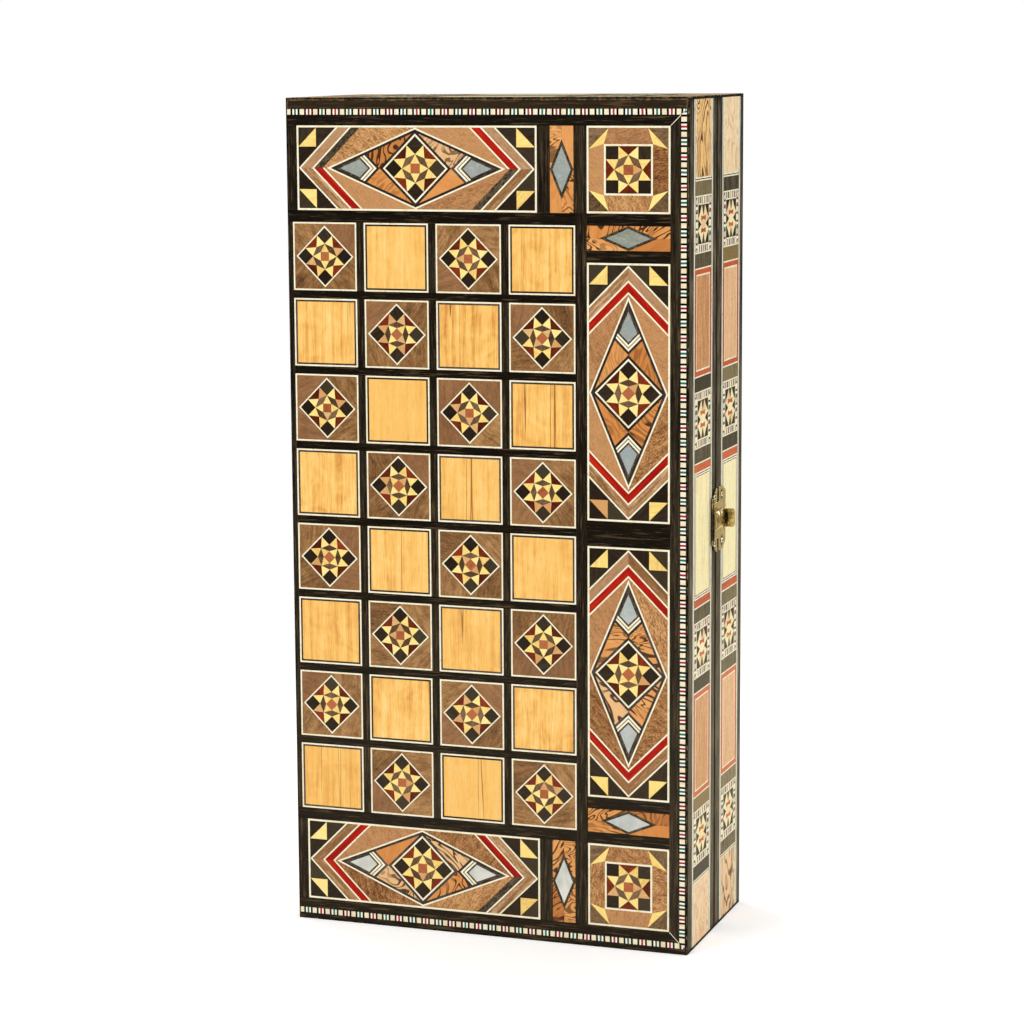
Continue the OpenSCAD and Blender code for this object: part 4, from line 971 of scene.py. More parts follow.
MAPLE = Wood(
    "maple",
    dark=srgb(208, 134, 60), middle=srgb(247, 190, 98), light=srgb(255, 218, 140),
    odd=srgb(236, 176, 96), pore=srgb(140, 78, 30),
    spread=0.14, vary=0.6, streaks=0.58, fibre=0.6, mottle=0.3, cracks=0.85, pores=0.2,
    streak_mm=3.0, stretch=22.0,
)
PALE_MAPLE = Wood(
    "pale_maple",
    dark=srgb(242, 196, 130), middle=srgb(255, 244, 184), light=srgb(255, 250, 208),
    pore=srgb(206, 140, 100),
    spread=0.1, streaks=0.9, fibre=0.6, curl=0.2,
    streak_mm=1.8, stretch=16.0,
)
STAR_WALNUT = Wood(
    "star_walnut",
    dark=srgb(78, 47, 22), middle=srgb(138, 97, 55), light=srgb(186, 140, 88),
    odd=srgb(142, 98, 62), pore=srgb(58, 36, 20),
    spread=0.4, streaks=0.55, fibre=0.6, curl=0.2, mottle=0.35, pores=0.35,
    streak_mm=2.0, stretch=7.0,
)
FIELD_WALNUT = Wood(
    "field_walnut",
    dark=srgb(92, 52, 22), middle=srgb(158, 105, 56), light=srgb(212, 160, 104),
    odd=srgb(184, 130, 82), pore=srgb(92, 54, 28),
    spread=0.6, vary=0.15, streaks=0.5, fibre=0.55, curl=0.45, lace=0.3, mottle=0.2, pores=0.35,
    stretch=6.0,
)
DEEP_WALNUT = Wood(
    "deep_walnut",
    dark=srgb(52, 36, 22), middle=srgb(112, 84, 54), light=srgb(150, 118, 84),
    odd=srgb(120, 92, 60),
    spread=0.4, streaks=0.5, fibre=0.4, curl=0.3,
    streak_mm=1.6, stretch=6.0,
)
SIDE_WALNUT = Wood(
    "side_walnut",
    dark=srgb(140, 84, 46), middle=srgb(206, 142, 88), light=srgb(238, 188, 128),
    pore=srgb(116, 66, 36),
    spread=0.2, fibre=0.5, curl=0.2, pores=0.5,
    streak_mm=1.8, stretch=16.0,
)
SIDE_PEACH = Wood(
    "side_peach",
    dark=srgb(180, 122, 78), middle=srgb(230, 178, 128), light=srgb(246, 206, 156),
    pore=srgb(160, 104, 64),
    spread=0.2, fibre=0.5, curl=0.25, pores=0.4,
    streak_mm=1.8,
)
LIGHT_WALNUT = Wood(
    "light_walnut",
    dark=srgb(112, 72, 40), middle=srgb(150, 104, 60), light=srgb(220, 182, 138),
    odd=srgb(182, 138, 98), pore=srgb(110, 70, 40),
    spread=0.3, vary=0.3, streaks=0.8, fibre=0.85, curl=0.15, pores=0.65,
    streak_mm=1.5, stretch=12.0,
)
STAR_KITE = Wood(
    "star_kite",
    dark=srgb(44, 30, 18), middle=srgb(98, 70, 46), light=srgb(150, 116, 84),
    odd=srgb(184, 100, 56),
    streaks=0.5, fibre=0.5, pores=0.35,
    streak_mm=1.3, stretch=8.0,
)
SIDE_HEART = Wood(
    "side_heart",
    dark=srgb(30, 20, 10), middle=srgb(74, 54, 28), light=srgb(130, 104, 62),
    spread=0.4, streaks=0.5, fibre=0.5,
    streak_mm=1.4, stretch=6.0,
)
LEMONWOOD = Wood(
    "lemonwood",
    dark=srgb(214, 160, 76), middle=srgb(255, 224, 130), light=srgb(255, 242, 176),
    odd=srgb(212, 156, 98), pore=srgb(186, 132, 60),
    spread=0.4, streaks=0.35, fibre=0.4, pores=0.2,
    streak_mm=1.4, stretch=8.0,
)
PETAL = Wood(
    "petal",
    dark=srgb(222, 180, 120), middle=srgb(252, 238, 180), light=srgb(255, 247, 212),
    odd=srgb(240, 206, 160), pore=srgb(200, 150, 90),
    spread=0.3, streaks=0.35, pores=0.2,
    streak_mm=1.4, stretch=8.0,
)
REDWOOD = Wood(
    "redwood",
    dark=srgb(50, 10, 4), middle=srgb(100, 36, 10), light=srgb(160, 58, 22),
    odd=srgb(176, 34, 12), pore=srgb(40, 6, 3),
    streaks=0.45, fibre=0.4, pores=0.35,
    streak_mm=1.4, stretch=12.0, shine=0.2,
)
RED_BAND = Wood(
    "red_band",
    dark=srgb(96, 6, 2), middle=srgb(170, 20, 4), light=srgb(214, 50, 14),
    odd=srgb(120, 8, 4), pore=srgb(64, 2, 6),
    spread=0.25, fibre=0.35, pores=0.4,
    streak_mm=1.8, shine=0.15,
)
SIDE_RED = Wood(
    "side_red",
    dark=srgb(124, 38, 14), middle=srgb(200, 80, 34), light=srgb(230, 116, 60),
    odd=srgb(208, 88, 40), pore=srgb(110, 30, 14),
    spread=0.3, streaks=0.5, fibre=0.4,
    streak_mm=1.6, stretch=10.0, shine=0.3,
)
OLIVE = Wood(
    "olive_wood",
    dark=srgb(146, 76, 26), middle=srgb(214, 138, 68), light=srgb(242, 182, 112),
    odd=srgb(232, 186, 132), pore=srgb(120, 66, 30), vein=srgb(60, 28, 8),
    vary=0.3, streaks=0.3, fibre=0.25, veins=0.95, pores=0.15,
    streak_mm=3.0, stretch=7.0,
)
SIDE_OLIVE = Wood(
    "side_olive",
    dark=srgb(222, 148, 78), middle=srgb(255, 208, 136), light=srgb(255, 230, 172),
    odd=srgb(242, 198, 150), pore=srgb(140, 80, 36), vein=srgb(84, 40, 14),
    spread=0.2, streaks=0.3, veins=1.0, pores=0.2,
    streak_mm=3.0, stretch=7.0, vein_mm=22.0,
)
SIDE_CREAM = Wood(
    "side_cream",
    dark=srgb(222, 172, 126), middle=srgb(254, 226, 178), light=srgb(255, 240, 204),
    odd=srgb(250, 212, 168), pore=srgb(190, 130, 90), vein=srgb(206, 140, 96),
    spread=0.3, streaks=0.35, fibre=0.4, curl=0.2, veins=0.5, pores=0.25,
    streak_mm=2.4, stretch=8.0,
)
FLOOR_WALNUT = Wood(
    "floor_walnut",
    dark=srgb(62, 38, 20), middle=srgb(112, 76, 46), light=srgb(160, 116, 76),
    streaks=0.55, fibre=0.5, mottle=0.2,
    streak_mm=5.0, stretch=22.0, grain=UP,
)
CASE_UPRIGHT = Wood(
    "stained_case_upright",
    dark=srgb(8, 6, 3), middle=srgb(36, 31, 22), light=srgb(126, 116, 94),
    pore=srgb(12, 9, 6), bare=srgb(150, 126, 94),
    streaks=1.5, fibre=1.0, pores=0.5,
    streak_mm=1.1, stretch=24.0, depth_mm=0.06, shine=0.15, roughness=0.32, grain=UP,
    # The spot is a painted shadow in the gap between the clasp plates
    wear=0.3, grime_mm=4.5, shadow_spot_mm=((121.0, 1.4, 250.5), (9.0, 2.3, 20.0)),
)
CASE_LEVEL = Wood(
    "stained_case_level",
    dark=srgb(30, 22, 12), middle=srgb(84, 70, 44), light=srgb(150, 132, 88),
    pore=srgb(20, 14, 8), bare=srgb(160, 140, 100),
    fibre=0.5, mottle=0.3, pores=0.4,
    streak_mm=2.0, stretch=20.0, depth_mm=0.05, shine=0.05, roughness=0.8, grain=ACROSS,
    wear=1.4,
)
SIDE_DART = Wood(
    "side_dart",
    dark=srgb(5, 3, 1), middle=srgb(18, 13, 8), light=srgb(52, 42, 28),
    spread=0.4, streaks=0.4, fibre=0.4,
    streak_mm=1.4, stretch=8.0, shine=0.1,
)
BONE = Bone("bone")
SIDE_BONE = Bone(
    "side_bone",
    pale=srgb(234, 234, 214),
    warm=srgb(206, 200, 176),
    pore=srgb(120, 112, 92),
    stain=0.5,
)
PEARL = Pearl("mother_of_pearl")
STICK_BLACK = (1.3, srgb(14, 9, 5), 0.0)
STICK_WHITE = (1.0, srgb(252, 250, 240), 0.3)
STICK_CREAM = (2.7, srgb(246, 236, 200), 1.0)
STICK_BROWN = (1.5, srgb(84, 58, 34), 0.2)
MOSAIC = Mosaic(
    "mosaic_string",
    row=tuple(
        stick
        for core in (srgb(186, 4, 20), srgb(10, 118, 84))
        for stick in (STICK_CREAM, STICK_BLACK, STICK_WHITE, (1.25, core, 0.25), STICK_WHITE, STICK_BLACK)
    ),
)
FLOWER_MOSAIC = Mosaic(
    "flower_mosaic",
    row=(
        (3.4, srgb(255, 244, 200), 0.6),
        STICK_BROWN,
        (3.0, srgb(240, 234, 214), 0.6),
        STICK_BROWN,
        (1.0, srgb(190, 30, 26), 0.3),
        (1.6, srgb(252, 246, 228), 0.3),
        STICK_BROWN,
        (3.0, srgb(212, 202, 182), 0.6),
        STICK_BROWN,
        (1.0, srgb(20, 110, 80), 0.3),
        (1.6, srgb(252, 246, 228), 0.3),
        STICK_BLACK,
    ),
)
BRASS = Brass("aged_brass")
# Painted shade round the nail heads and beside the hasp's knuckle
PLATE_BRASS = Brass(
    "plate_brass",
    shade_spots_mm=(
        ((121.0, -7.1, 236.5), (5.0, 3.5, 3.9)),
        ((121.0, -7.1, 264.5), (5.0, 3.5, 3.9)),
        ((121.0, 9.3, 236.5), (5.0, 3.5, 3.9)),
        ((121.0, 9.3, 264.5), (5.0, 3.5, 3.9)),
        ((121.0, -11.4, 250.5), (6.0, 2.6, 14.0)),
    ),
)
# Painted shade beside the knuckle and at the root of the tab
HASP_BRASS = Brass(
    "hasp_brass",
    shade_spots_mm=(
        ((121.0, -11.4, 248.5), (5.0, 3.2, 13.0)),
        ((124.6, 9.5, 250.5), (1.2, 2.5, 7.0)),
    ),
)
NAIL_BRASS = Brass(
    "nail_brass",
    bright=srgb(252, 250, 238),
    dull=srgb(222, 218, 200),
    brown=srgb(150, 144, 122),
    roughness=0.12,
)


# Meshes


@dataclass
class Mesh:
    """Points, triangles and the number of the chip that each point belongs to."""

    points: np.ndarray
    faces: np.ndarray
    chip: np.ndarray = field(default_factory=lambda: np.zeros(0, int))

    @classmethod
    def of_node(cls, node: bpy.types.Object) -> "Mesh":
        """Takes the loose triangles of a CAD node and joins them into chips.

        Points closer than a micrometre become one: point i gets the key round(1e6 * p_i). Then
        every point takes the smallest number among the corners of its triangles, again and
        again, until each chip has one number.

        Args:
            node: Object of the CAD node.

        Returns:
            The merged mesh, with its chips numbered from 0.
        """
        mesh = node.data
        points = np.zeros(len(mesh.vertices) * 3)
        mesh.vertices.foreach_get("co", points)
        mesh.calc_loop_triangles()
        faces = np.zeros(len(mesh.loop_triangles) * 3, int)
        mesh.loop_triangles.foreach_get("vertices", faces)
        points, faces = points.reshape(-1, 3), faces.reshape(-1, 3)
        keys = np.round(points * 1e6).astype(np.int64)
        _, first, back = np.unique(keys, axis=0, return_index=True, return_inverse=True)
        points, faces = points[first], back.reshape(-1)[faces]
        whole = (faces[:, 0] != faces[:, 1]) & (faces[:, 1] != faces[:, 2]) & (faces[:, 2] != faces[:, 0])
        faces = faces[whole]
        label = np.arange(len(points))
        while True:
            low = label[faces].min(axis=1)
            new = label.copy()
            np.minimum.at(new, faces.ravel(), np.repeat(low, 3))
            new = new[new]
            if (new == label).all():
                break
            label = new
        return cls(points, faces, np.unique(label, return_inverse=True)[1].reshape(-1))

    @property
    def count(self) -> int:
        """Number of chips."""
        return int(self.chip.max()) + 1

    def middles(self) -> np.ndarray:
        """Mean point of every chip.

        Returns:
            One point for each chip.
        """
        total = np.zeros((self.count, 3))
        np.add.at(total, self.chip, self.points)
        return total / np.bincount(self.chip)[:, None]

    def boxes(self) -> tuple[np.ndarray, np.ndarray]:
        """Box round every chip.

        Returns:
            The lowest corners and the highest corners.
        """
        low = np.full((self.count, 3), np.inf)
        high = np.full((self.count, 3), -np.inf)
        np.minimum.at(low, self.chip, self.points)
        np.maximum.at(high, self.chip, self.points)
        return low, high

    def axes(self) -> tuple[np.ndarray, np.ndarray]:
        """Main axes of every chip.

        They are the eigenvectors of sum((p - m)(p - m)^T) / n over the chip's n points p with
        their mean m.

        Returns:
            The spreads along the axes, smallest first, and the axes as columns.
        """
        offset = self.points - self.middles()[self.chip]
        spread = np.zeros((self.count, 3, 3))
        np.add.at(spread, self.chip, offset[:, :, None] * offset[:, None, :])
        spread /= np.bincount(self.chip)[:, None, None]
        return np.linalg.eigh(spread)

    def part(self, taken: np.ndarray) -> "Mesh":
        """The mesh of some of the chips.

        Args:
            taken: One truth value for each chip.

        Returns:
            A mesh with their points and triangles only, in the same order.
        """
        kept = taken[self.chip]
        number = np.cumsum(kept) - 1
        faces = self.faces[kept[self.faces[:, 0]]]
        return Mesh(self.points[kept], number[faces], self.chip[kept])

    def to_object(self, name: str, values: dict[str, np.ndarray]) -> bpy.types.Object:
        """Makes an object of the mesh.

        Args:
            name: Name of the object.
            values: Attributes of the points, one value or one vector for each point.

        Returns:
            The object, at the origin.
        """
        data = bpy.data.meshes.new(name)
        data.from_pydata(self.points.tolist(), [], self.faces.tolist())
        for key, value in values.items():
            kind, slot = ("FLOAT_VECTOR", "vector") if value.ndim == 2 else ("FLOAT", "value")
            layer = data.attributes.new(key, kind, "POINT")
            layer.data.foreach_set(slot, value.astype(np.float32).ravel())
        data.update()
        made = bpy.data.objects.new(name, data)
        bpy.context.scene.collection.objects.link(made)
        return made


def soften(piece: bpy.types.Object, width_mm: float, segments: int = 1) -> None:
    """Breaks the sharp edges of a piece by a narrow bevel.

    Args:
        piece: The piece.
        width_mm: Width of the bevel.
        segments: How many facets it has.
    """
    bevel = piece.modifiers.new("soft_edges", "BEVEL")
    bevel.width = width_mm * MM
    bevel.segments = segments
    bevel.limit_method = "ANGLE"
    bevel.angle_limit = SMOOTH_ANGLE
    bevel.use_clamp_overlap = True
    bevel.harden_normals = False


def dress(piece: bpy.types.Object, finish: Finish) -> None:
    """Gives a piece one finish all over.

    Args:
        piece: The piece.
        finish: Its finish.
    """
    material = finish.material()
    if not piece.material_slots:
        piece.data.materials.append(material)
    for holder in piece.material_slots:
        holder.material = material


def settle(piece: bpy.types.Object, node: str, body: str, finish: Finish) -> None:
    """Dresses a piece and puts it in the place of a CAD node.

    Args:
        piece: The piece.
        node: CAD node that it replaces.
        body: Body that it rides on.
        finish: Its finish.
    """
    dress(piece, finish)
    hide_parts(node)
    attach(piece, body)


# Sub-assemblies

CHIP_EDGE_MM = 0.07
STRIP_EDGE_MM = 0.05
SEED_REACH = 9
# A chip is round if its spread along is less than this many times its spread across
ROUND_RATIO = 1.2


@dataclass(frozen=True)
class Kind:
    """Chips of one node that look alike.

    A chip belongs here if it lies in that place and the longest side of its box, in millimetres,
    is between the two lengths. odd_share is the share of its chips that take the odd tone of the
    finish; where round_is_odd is set they are those about as wide as long.
    """

    name: str
    finish: Finish
    grain: Grain = Grain.ANY
    place: Place = Place.ANYWHERE
    longest_mm: tuple[float, float] = (0.0, math.inf)
    odd_share: float = 0.0
    round_is_odd: bool = False

    def takes(self, low: np.ndarray, high: np.ndarray) -> np.ndarray:
        """Which chips belong here.

        Args:
            low: Lowest corners of the chips' boxes.
            high: Their highest corners.

        Returns:
            One truth value for each chip.
        """
        depth = np.abs(low[:, 1] + high[:, 1]) / 2
        face = depth > (CASE_SIZE_MM[1] / 2 - SHEET_DEPTH_MM) * MM
        upper = (low[:, 2] + high[:, 2]) / 2 > CASE_SIZE_MM[2] / 2 * MM
        here = {
            Place.FACE: face,
            Place.BAND: ~face,
            Place.HIGH_BAND: ~face & upper,
            Place.LOW_BAND: ~face & ~upper,
            Place.ANYWHERE: np.full(len(low), True),
        }
        longest = (high - low).max(axis=1) / MM
        return here[self.place] & (longest >= self.longest_mm[0]) & (longest < self.longest_mm[1])

    def directions(self, axes: np.ndarray, dice: np.random.Generator) -> np.ndarray:
        """Direction of the grain of every chip.

        A direction in the plane of a chip is cos(a) * u + sin(a) * v, with u and v the two long
        axes of the chip and a random angle a.

        Args:
            axes: Main axes of the chips as columns, the longest last.
            dice: Source of the random angles.

        Returns:
            One vector for each chip.
        """
        count = len(axes)
        angle = dice.uniform(0, math.pi, count)[:, None]
        turned = np.cos(angle) * axes[:, :, 2] + np.sin(angle) * axes[:, :, 1]
        return {
            Grain.ALONG: axes[:, :, 2],
            Grain.ANY: turned,
            Grain.UPRIGHT: np.tile(UP, (count, 1)),
            Grain.LEVEL: np.tile(ACROSS, (count, 1)),
        }[self.grain]


@dataclass
class Chips:
    """All chips of one node, copied from it kind by kind."""

    node: str
    slot: str
    kinds: tuple[Kind, ...]

    def build(self, frame: dict, body: str) -> None:
        """Copies the node and dresses each kind of chip.

        Each chip gets a random tone, a random force of its figure, a random seed for it and a
        direction of its grain. A chip goes to the first kind that takes it.

        Args:
            body: Body that the chips ride on.
        """
        mesh = Mesh.of_node(frame["nodes"][self.node])
        dice = np.random.default_rng(sum(map(ord, self.node)))
        spread, axes = mesh.axes()
        low, high = mesh.boxes()
        free = np.full(mesh.count, True)
        for kind in self.kinds:
            taken = free & kind.takes(low, high)
            free &= ~taken
            odd = dice.uniform(size=mesh.count) < kind.odd_share
            if kind.round_is_odd:
                odd = spread[:, 2] < ROUND_RATIO * spread[:, 1]
            values = {
                "grain": kind.directions(axes, dice),
                "tone": dice.uniform(size=mesh.count),
                "vivid": dice.uniform(size=mesh.count),
                "seed": dice.uniform(-SEED_REACH, SEED_REACH, mesh.count),
                "odd": odd.astype(float),
            }
            if not taken.any():
                continue
            part = mesh.part(taken)
            numbers = mesh.chip[taken[mesh.chip]]
            piece = part.to_object(
                f"{self.node}_{kind.name}", {key: value[numbers] for key, value in values.items()}
            )
            soften(piece, CHIP_EDGE_MM)
            settle(piece, self.node, body, kind.finish)
            log.info("%s_%s: %d chips", self.node, kind.name, int(taken.sum()))
        if free.any():
            raise ValueError(f"{self.node}: {int(free.sum())} chips belong to no kind")


@dataclass
class MosaicString:
    """The mosaic string of one half, with its sticks counted along every strip.

    The phases are the part of a period at which the pattern starts: on an upright strip of the
    face, on a level one, and on the odd strips of a flower, where the even ones are half a period
    further on. periods_ahead keeps the count above 0.
    """

    node: str
    upright_phase: float = 0.74
    level_phase: float = 0.53
    flower_phase: float = 0.08
    periods_ahead: float = 40.0

    def build(self, frame: dict, body: str) -> None:
        """Copies the strips and counts the pattern along them.

        A strip lies along the longest side of its box. With s the distance from its start, the
        attribute run is s / period plus a start that puts a red stick or a green one at its end.

        Args:
            body: Body that the string rides on.
        """
        mesh = Mesh.of_node(frame["nodes"][self.node])
        low, high = mesh.boxes()
        size = high - low
        order = np.argsort(size, axis=1)
        long_axis, wide_axis = order[:, 2], order[:, 1]
        row = np.arange(mesh.count)
        point = np.arange(len(mesh.points))
        along = mesh.points[point, long_axis[mesh.chip]]
        across = mesh.points[point, wide_axis[mesh.chip]]
        big = size[row, long_axis] > LONG_STRIP_MM * MM
        upright = long_axis == 2
        # Strips of the face start at the hinge side or at the top, those of a flower in their middle
        start = np.where(big, low[row, long_axis], (low + high)[row, long_axis] / 2)
        start = np.where(big & upright, high[row, 2], start)
        sign = np.where(big & upright, -1.0, 1.0)
        phase = np.where(upright, self.upright_phase, self.level_phase)
        phase = np.where(big, phase, self.flower_phase + 0.5 * (row % 2))
        over = (across - low[row, wide_axis][mesh.chip]) / size[row, wide_axis][mesh.chip]
        for name, taken, finish in (("face", big, MOSAIC), ("flowers", ~big, FLOWER_MOSAIC)):
            run = sign[mesh.chip] * (along - start[mesh.chip]) / (finish.period_mm * MM)
            run += phase[mesh.chip] + self.periods_ahead
            kept = taken[mesh.chip]
            values = {"run": run[kept], "across": over[kept]}
            piece = mesh.part(taken).to_object(f"{self.node}_{name}", values)
            soften(piece, CHIP_EDGE_MM)
            settle(piece, self.node, body, finish)
            log.info("%s_%s: %d strips", self.node, name, int(taken.sum()))


# A strip from u to u and from v to v, and whether its grain runs upright
Strip = tuple[float, float, float, float, bool]
# Corners of a box: 0 to 3 lie round its near side, 4 to 7 behind them
BOX_SIDES = np.array(
    [[0, 1, 2, 3], [7, 6, 5, 4], [0, 4, 5, 1], [1, 5, 6, 2], [2, 6, 7, 3], [3, 7, 4, 0]]
)


@dataclass
class EbonyStrips:
    """The ebony ground of one half, laid as separate strips between the motifs.

    Lengths are millimetres, and they are those of the CAD sheet. u goes across the board from its
    hinge edge, v up from the middle of the pattern. The tones, from 0 to 1, are those of upright
    and of level strips, and tone_reach is how far single strips go from them.
    """

    node: str
    tile: float = 40.5
    gap: float = 4.7
    hinge_margin: float = 3.5
    panel_margin: float = 3.3
    strip: float = 7.0
    border: float = 49.8
    panel_l: float = 149.75
    pearl_w: float = 14.2
    mid_gap: float = 15.0
    string_gap: float = 6.2
    string_w: float = 3.4
    mitre_w: float = 0.4
    seam: float = 0.04
    left: float = -127.15
    pattern_z: float = 248.55
    sheet_t: float = 1.5
    upright_tone: float = 0.64
    level_tone: float = 0.26
    tone_reach: float = 0.14
    first_seed: int = 71

    @property
    def half(self) -> float:
        """Half the height of the chess squares."""
        return 4 * self.tile + 3.5 * self.gap

    @property
    def grid_u(self) -> float:
        """Where the chess squares end."""
        return self.hinge_margin + 4 * self.tile + 3 * self.gap

    @property
    def border_u(self) -> float:
        """Where the border begins."""
        return self.grid_u + self.strip

    @property
    def outer_u(self) -> float:
        """Where the border ends."""
        return self.border_u + self.border

    @property
    def inner_v(self) -> float:
        """Where the upper border begins."""
        return self.half + self.strip

    @property
    def outer_v(self) -> float:
        """Where the upper border ends."""
        return self.inner_v + self.border

    def straight(self, u0: float, u1: float, v0: float, v1: float) -> list[Strip]:
        """Strips of the rim, of the border and between its panels.

        Args:
            u0: Where the sheet begins.
            u1: Where it ends.
            v0: Its lower end.
            v1: Its upper end.

        Returns:
            The strips.
        """
        far_u = self.outer_u + self.string_gap + self.string_w
        far_v = self.outer_v + self.string_gap + self.string_w
        panel_u = self.hinge_margin + self.panel_margin
        pearl_u = (panel_u + self.panel_l + self.border_u) / 2
        pearl_v = self.half - self.pearl_w
        long_v = self.mid_gap / 2 + self.panel_l
        strips = [
            (u0, u1, far_v, v1, False),
            (u0, u1, v0, -far_v, False),
            (far_u, u1, -far_v, far_v, True),
            (u0, self.hinge_margin, -self.half, self.half, True),
            (self.grid_u, self.border_u, -self.inner_v, self.inner_v, True),
            (self.border_u, self.outer_u, -self.mid_gap / 2, self.mid_gap / 2, False),
        ]
        for sign in (-1, 1):
            strips += [
                (a, b, *sorted((sign * c, sign * d)), False)
                for a, b, c, d in (
                    (u0, self.grid_u, self.half, self.inner_v),
                    (self.border_u, self.outer_u, self.half, self.inner_v),
                    (self.border_u, self.outer_u, long_v, pearl_v),
                )
            ]
            strips += [
                (a, b, *sorted((sign * self.inner_v, sign * self.outer_v)), True)
                for a, b in (
                    (u0, panel_u),
                    (panel_u + self.panel_l, pearl_u - self.pearl_w / 2),
                    (pearl_u + self.pearl_w / 2, self.border_u),
                )
            ]
        return strips

    def between_squares(self) -> list[Strip]:
        """Level strips between the rows of squares and upright ones between the squares of a row.

        Returns:
            The strips.
        """
        pitch = self.tile + self.gap
        tops = [self.half - self.tile - row * pitch for row in range(7)]
        level = [(self.hinge_margin, self.grid_u, top - self.gap, top, False) for top in tops]
        starts = [self.hinge_margin + self.tile + i * pitch for i in range(3)]
        upright = [
            (start, start + self.gap, self.half - row * pitch - self.tile, self.half - row * pitch, True)
            for start in starts
            for row in range(8)
        ]
        return level + upright

    def mitred(self, u0: float) -> list[list[list[float]]]:
        """The three inner strips that meet in mitres, with room for the bone line between them.

        Args:
            u0: Where the sheet begins.

        Returns:
            Four corners (u, v) of each.
        """
        string_u, string_v = self.outer_u + self.string_gap, self.outer_v + self.string_gap
        slip = self.mitre_w / math.sqrt(2) + self.seam
        strips = []
        for sign in (-1, 1):
            a, b = sign * (self.outer_v + self.seam / 2), sign * (string_v - self.seam / 2)
            strips.append([[u0, a], [self.outer_u - slip, a], [string_u - slip, b], [u0, b]][::sign])
        reach, far = self.outer_v - slip, string_v - slip
        near_u, edge_u = self.outer_u + self.seam / 2, string_u - self.seam / 2
        strips.append([[near_u, -reach], [edge_u, -far], [edge_u, far], [near_u, reach]])
        return strips

    def outlines(self, low: Vector, high: Vector) -> tuple[np.ndarray, np.ndarray]:
        """Corners of all the strips.

        Args:
            low: Lowest corner of the CAD sheet.
            high: Highest corner of the CAD sheet.

        Returns:
            Four corners (u, v) of every strip, and whether its grain runs upright.
        """
        u0, u1 = low.x / MM - self.left, high.x / MM - self.left
        v0, v1 = low.z / MM - self.pattern_z, high.z / MM - self.pattern_z
        strips = self.straight(u0, u1, v0, v1) + self.between_squares()
        box = np.array([strip[:4] for strip in strips])
        corners = box[:, [[0, 2], [1, 2], [1, 3], [0, 3]]]
        corners += np.array([[1, 1], [-1, 1], [-1, -1], [1, -1]]) * self.seam / 2
        corners = np.concatenate([corners, np.array(self.mitred(u0))])
        upright = np.array([strip[4] for strip in strips] + [False, False, True])
        return corners, upright

    def build(self, body: str) -> None:
        """Raises every outline to a flat strip, from y = face to y = face + thickness.

        Args:
            body: Body that the strips ride on.
        """
        low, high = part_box(self.node)
        corners, upright = self.outlines(low, high)
        count = len(corners)
        front = low.y < 0
        face = low.y if front else high.y
        depth = self.sheet_t * MM * (1 if front else -1)
        flat = np.zeros((count, 2, 4, 3))
        flat[..., 0] = (corners[:, None, :, 0] + self.left) * MM
        flat[..., 2] = (corners[:, None, :, 1] + self.pattern_z) * MM
        flat[:, 0, :, 1] = face
        flat[:, 1, :, 1] = face + depth
        quads = BOX_SIDES if front else BOX_SIDES[:, ::-1]
        faces = (quads[None] + 8 * np.arange(count)[:, None, None]).reshape(-1, 4)
        mesh = Mesh(flat.reshape(-1, 3), faces, np.repeat(np.arange(count), 8))
        dice = np.random.default_rng(self.first_seed + (not front))
        tone = np.where(upright, self.upright_tone, self.level_tone)
        tone = tone + dice.uniform(-self.tone_reach, self.tone_reach, count)
        # The top strip is the one that hands have rubbed bare
        handled = np.zeros(count)
        handled[0] = 1.0
        values = {
            "grain": np.where(upright[:, None], [UP], [ACROSS]),
            "tone": tone,
            "seed": dice.uniform(-SEED_REACH, SEED_REACH, count),
            "odd": handled,
            "vivid": np.full(count, 0.5),
        }
        piece = mesh.to_object(f"strips_{self.node}", {k: v[mesh.chip] for k, v in values.items()})
        soften(piece, STRIP_EDGE_MM)
        settle(piece, self.node, body, EBONY_STRIP)
        log.info("%s: %d strips", self.node, count)


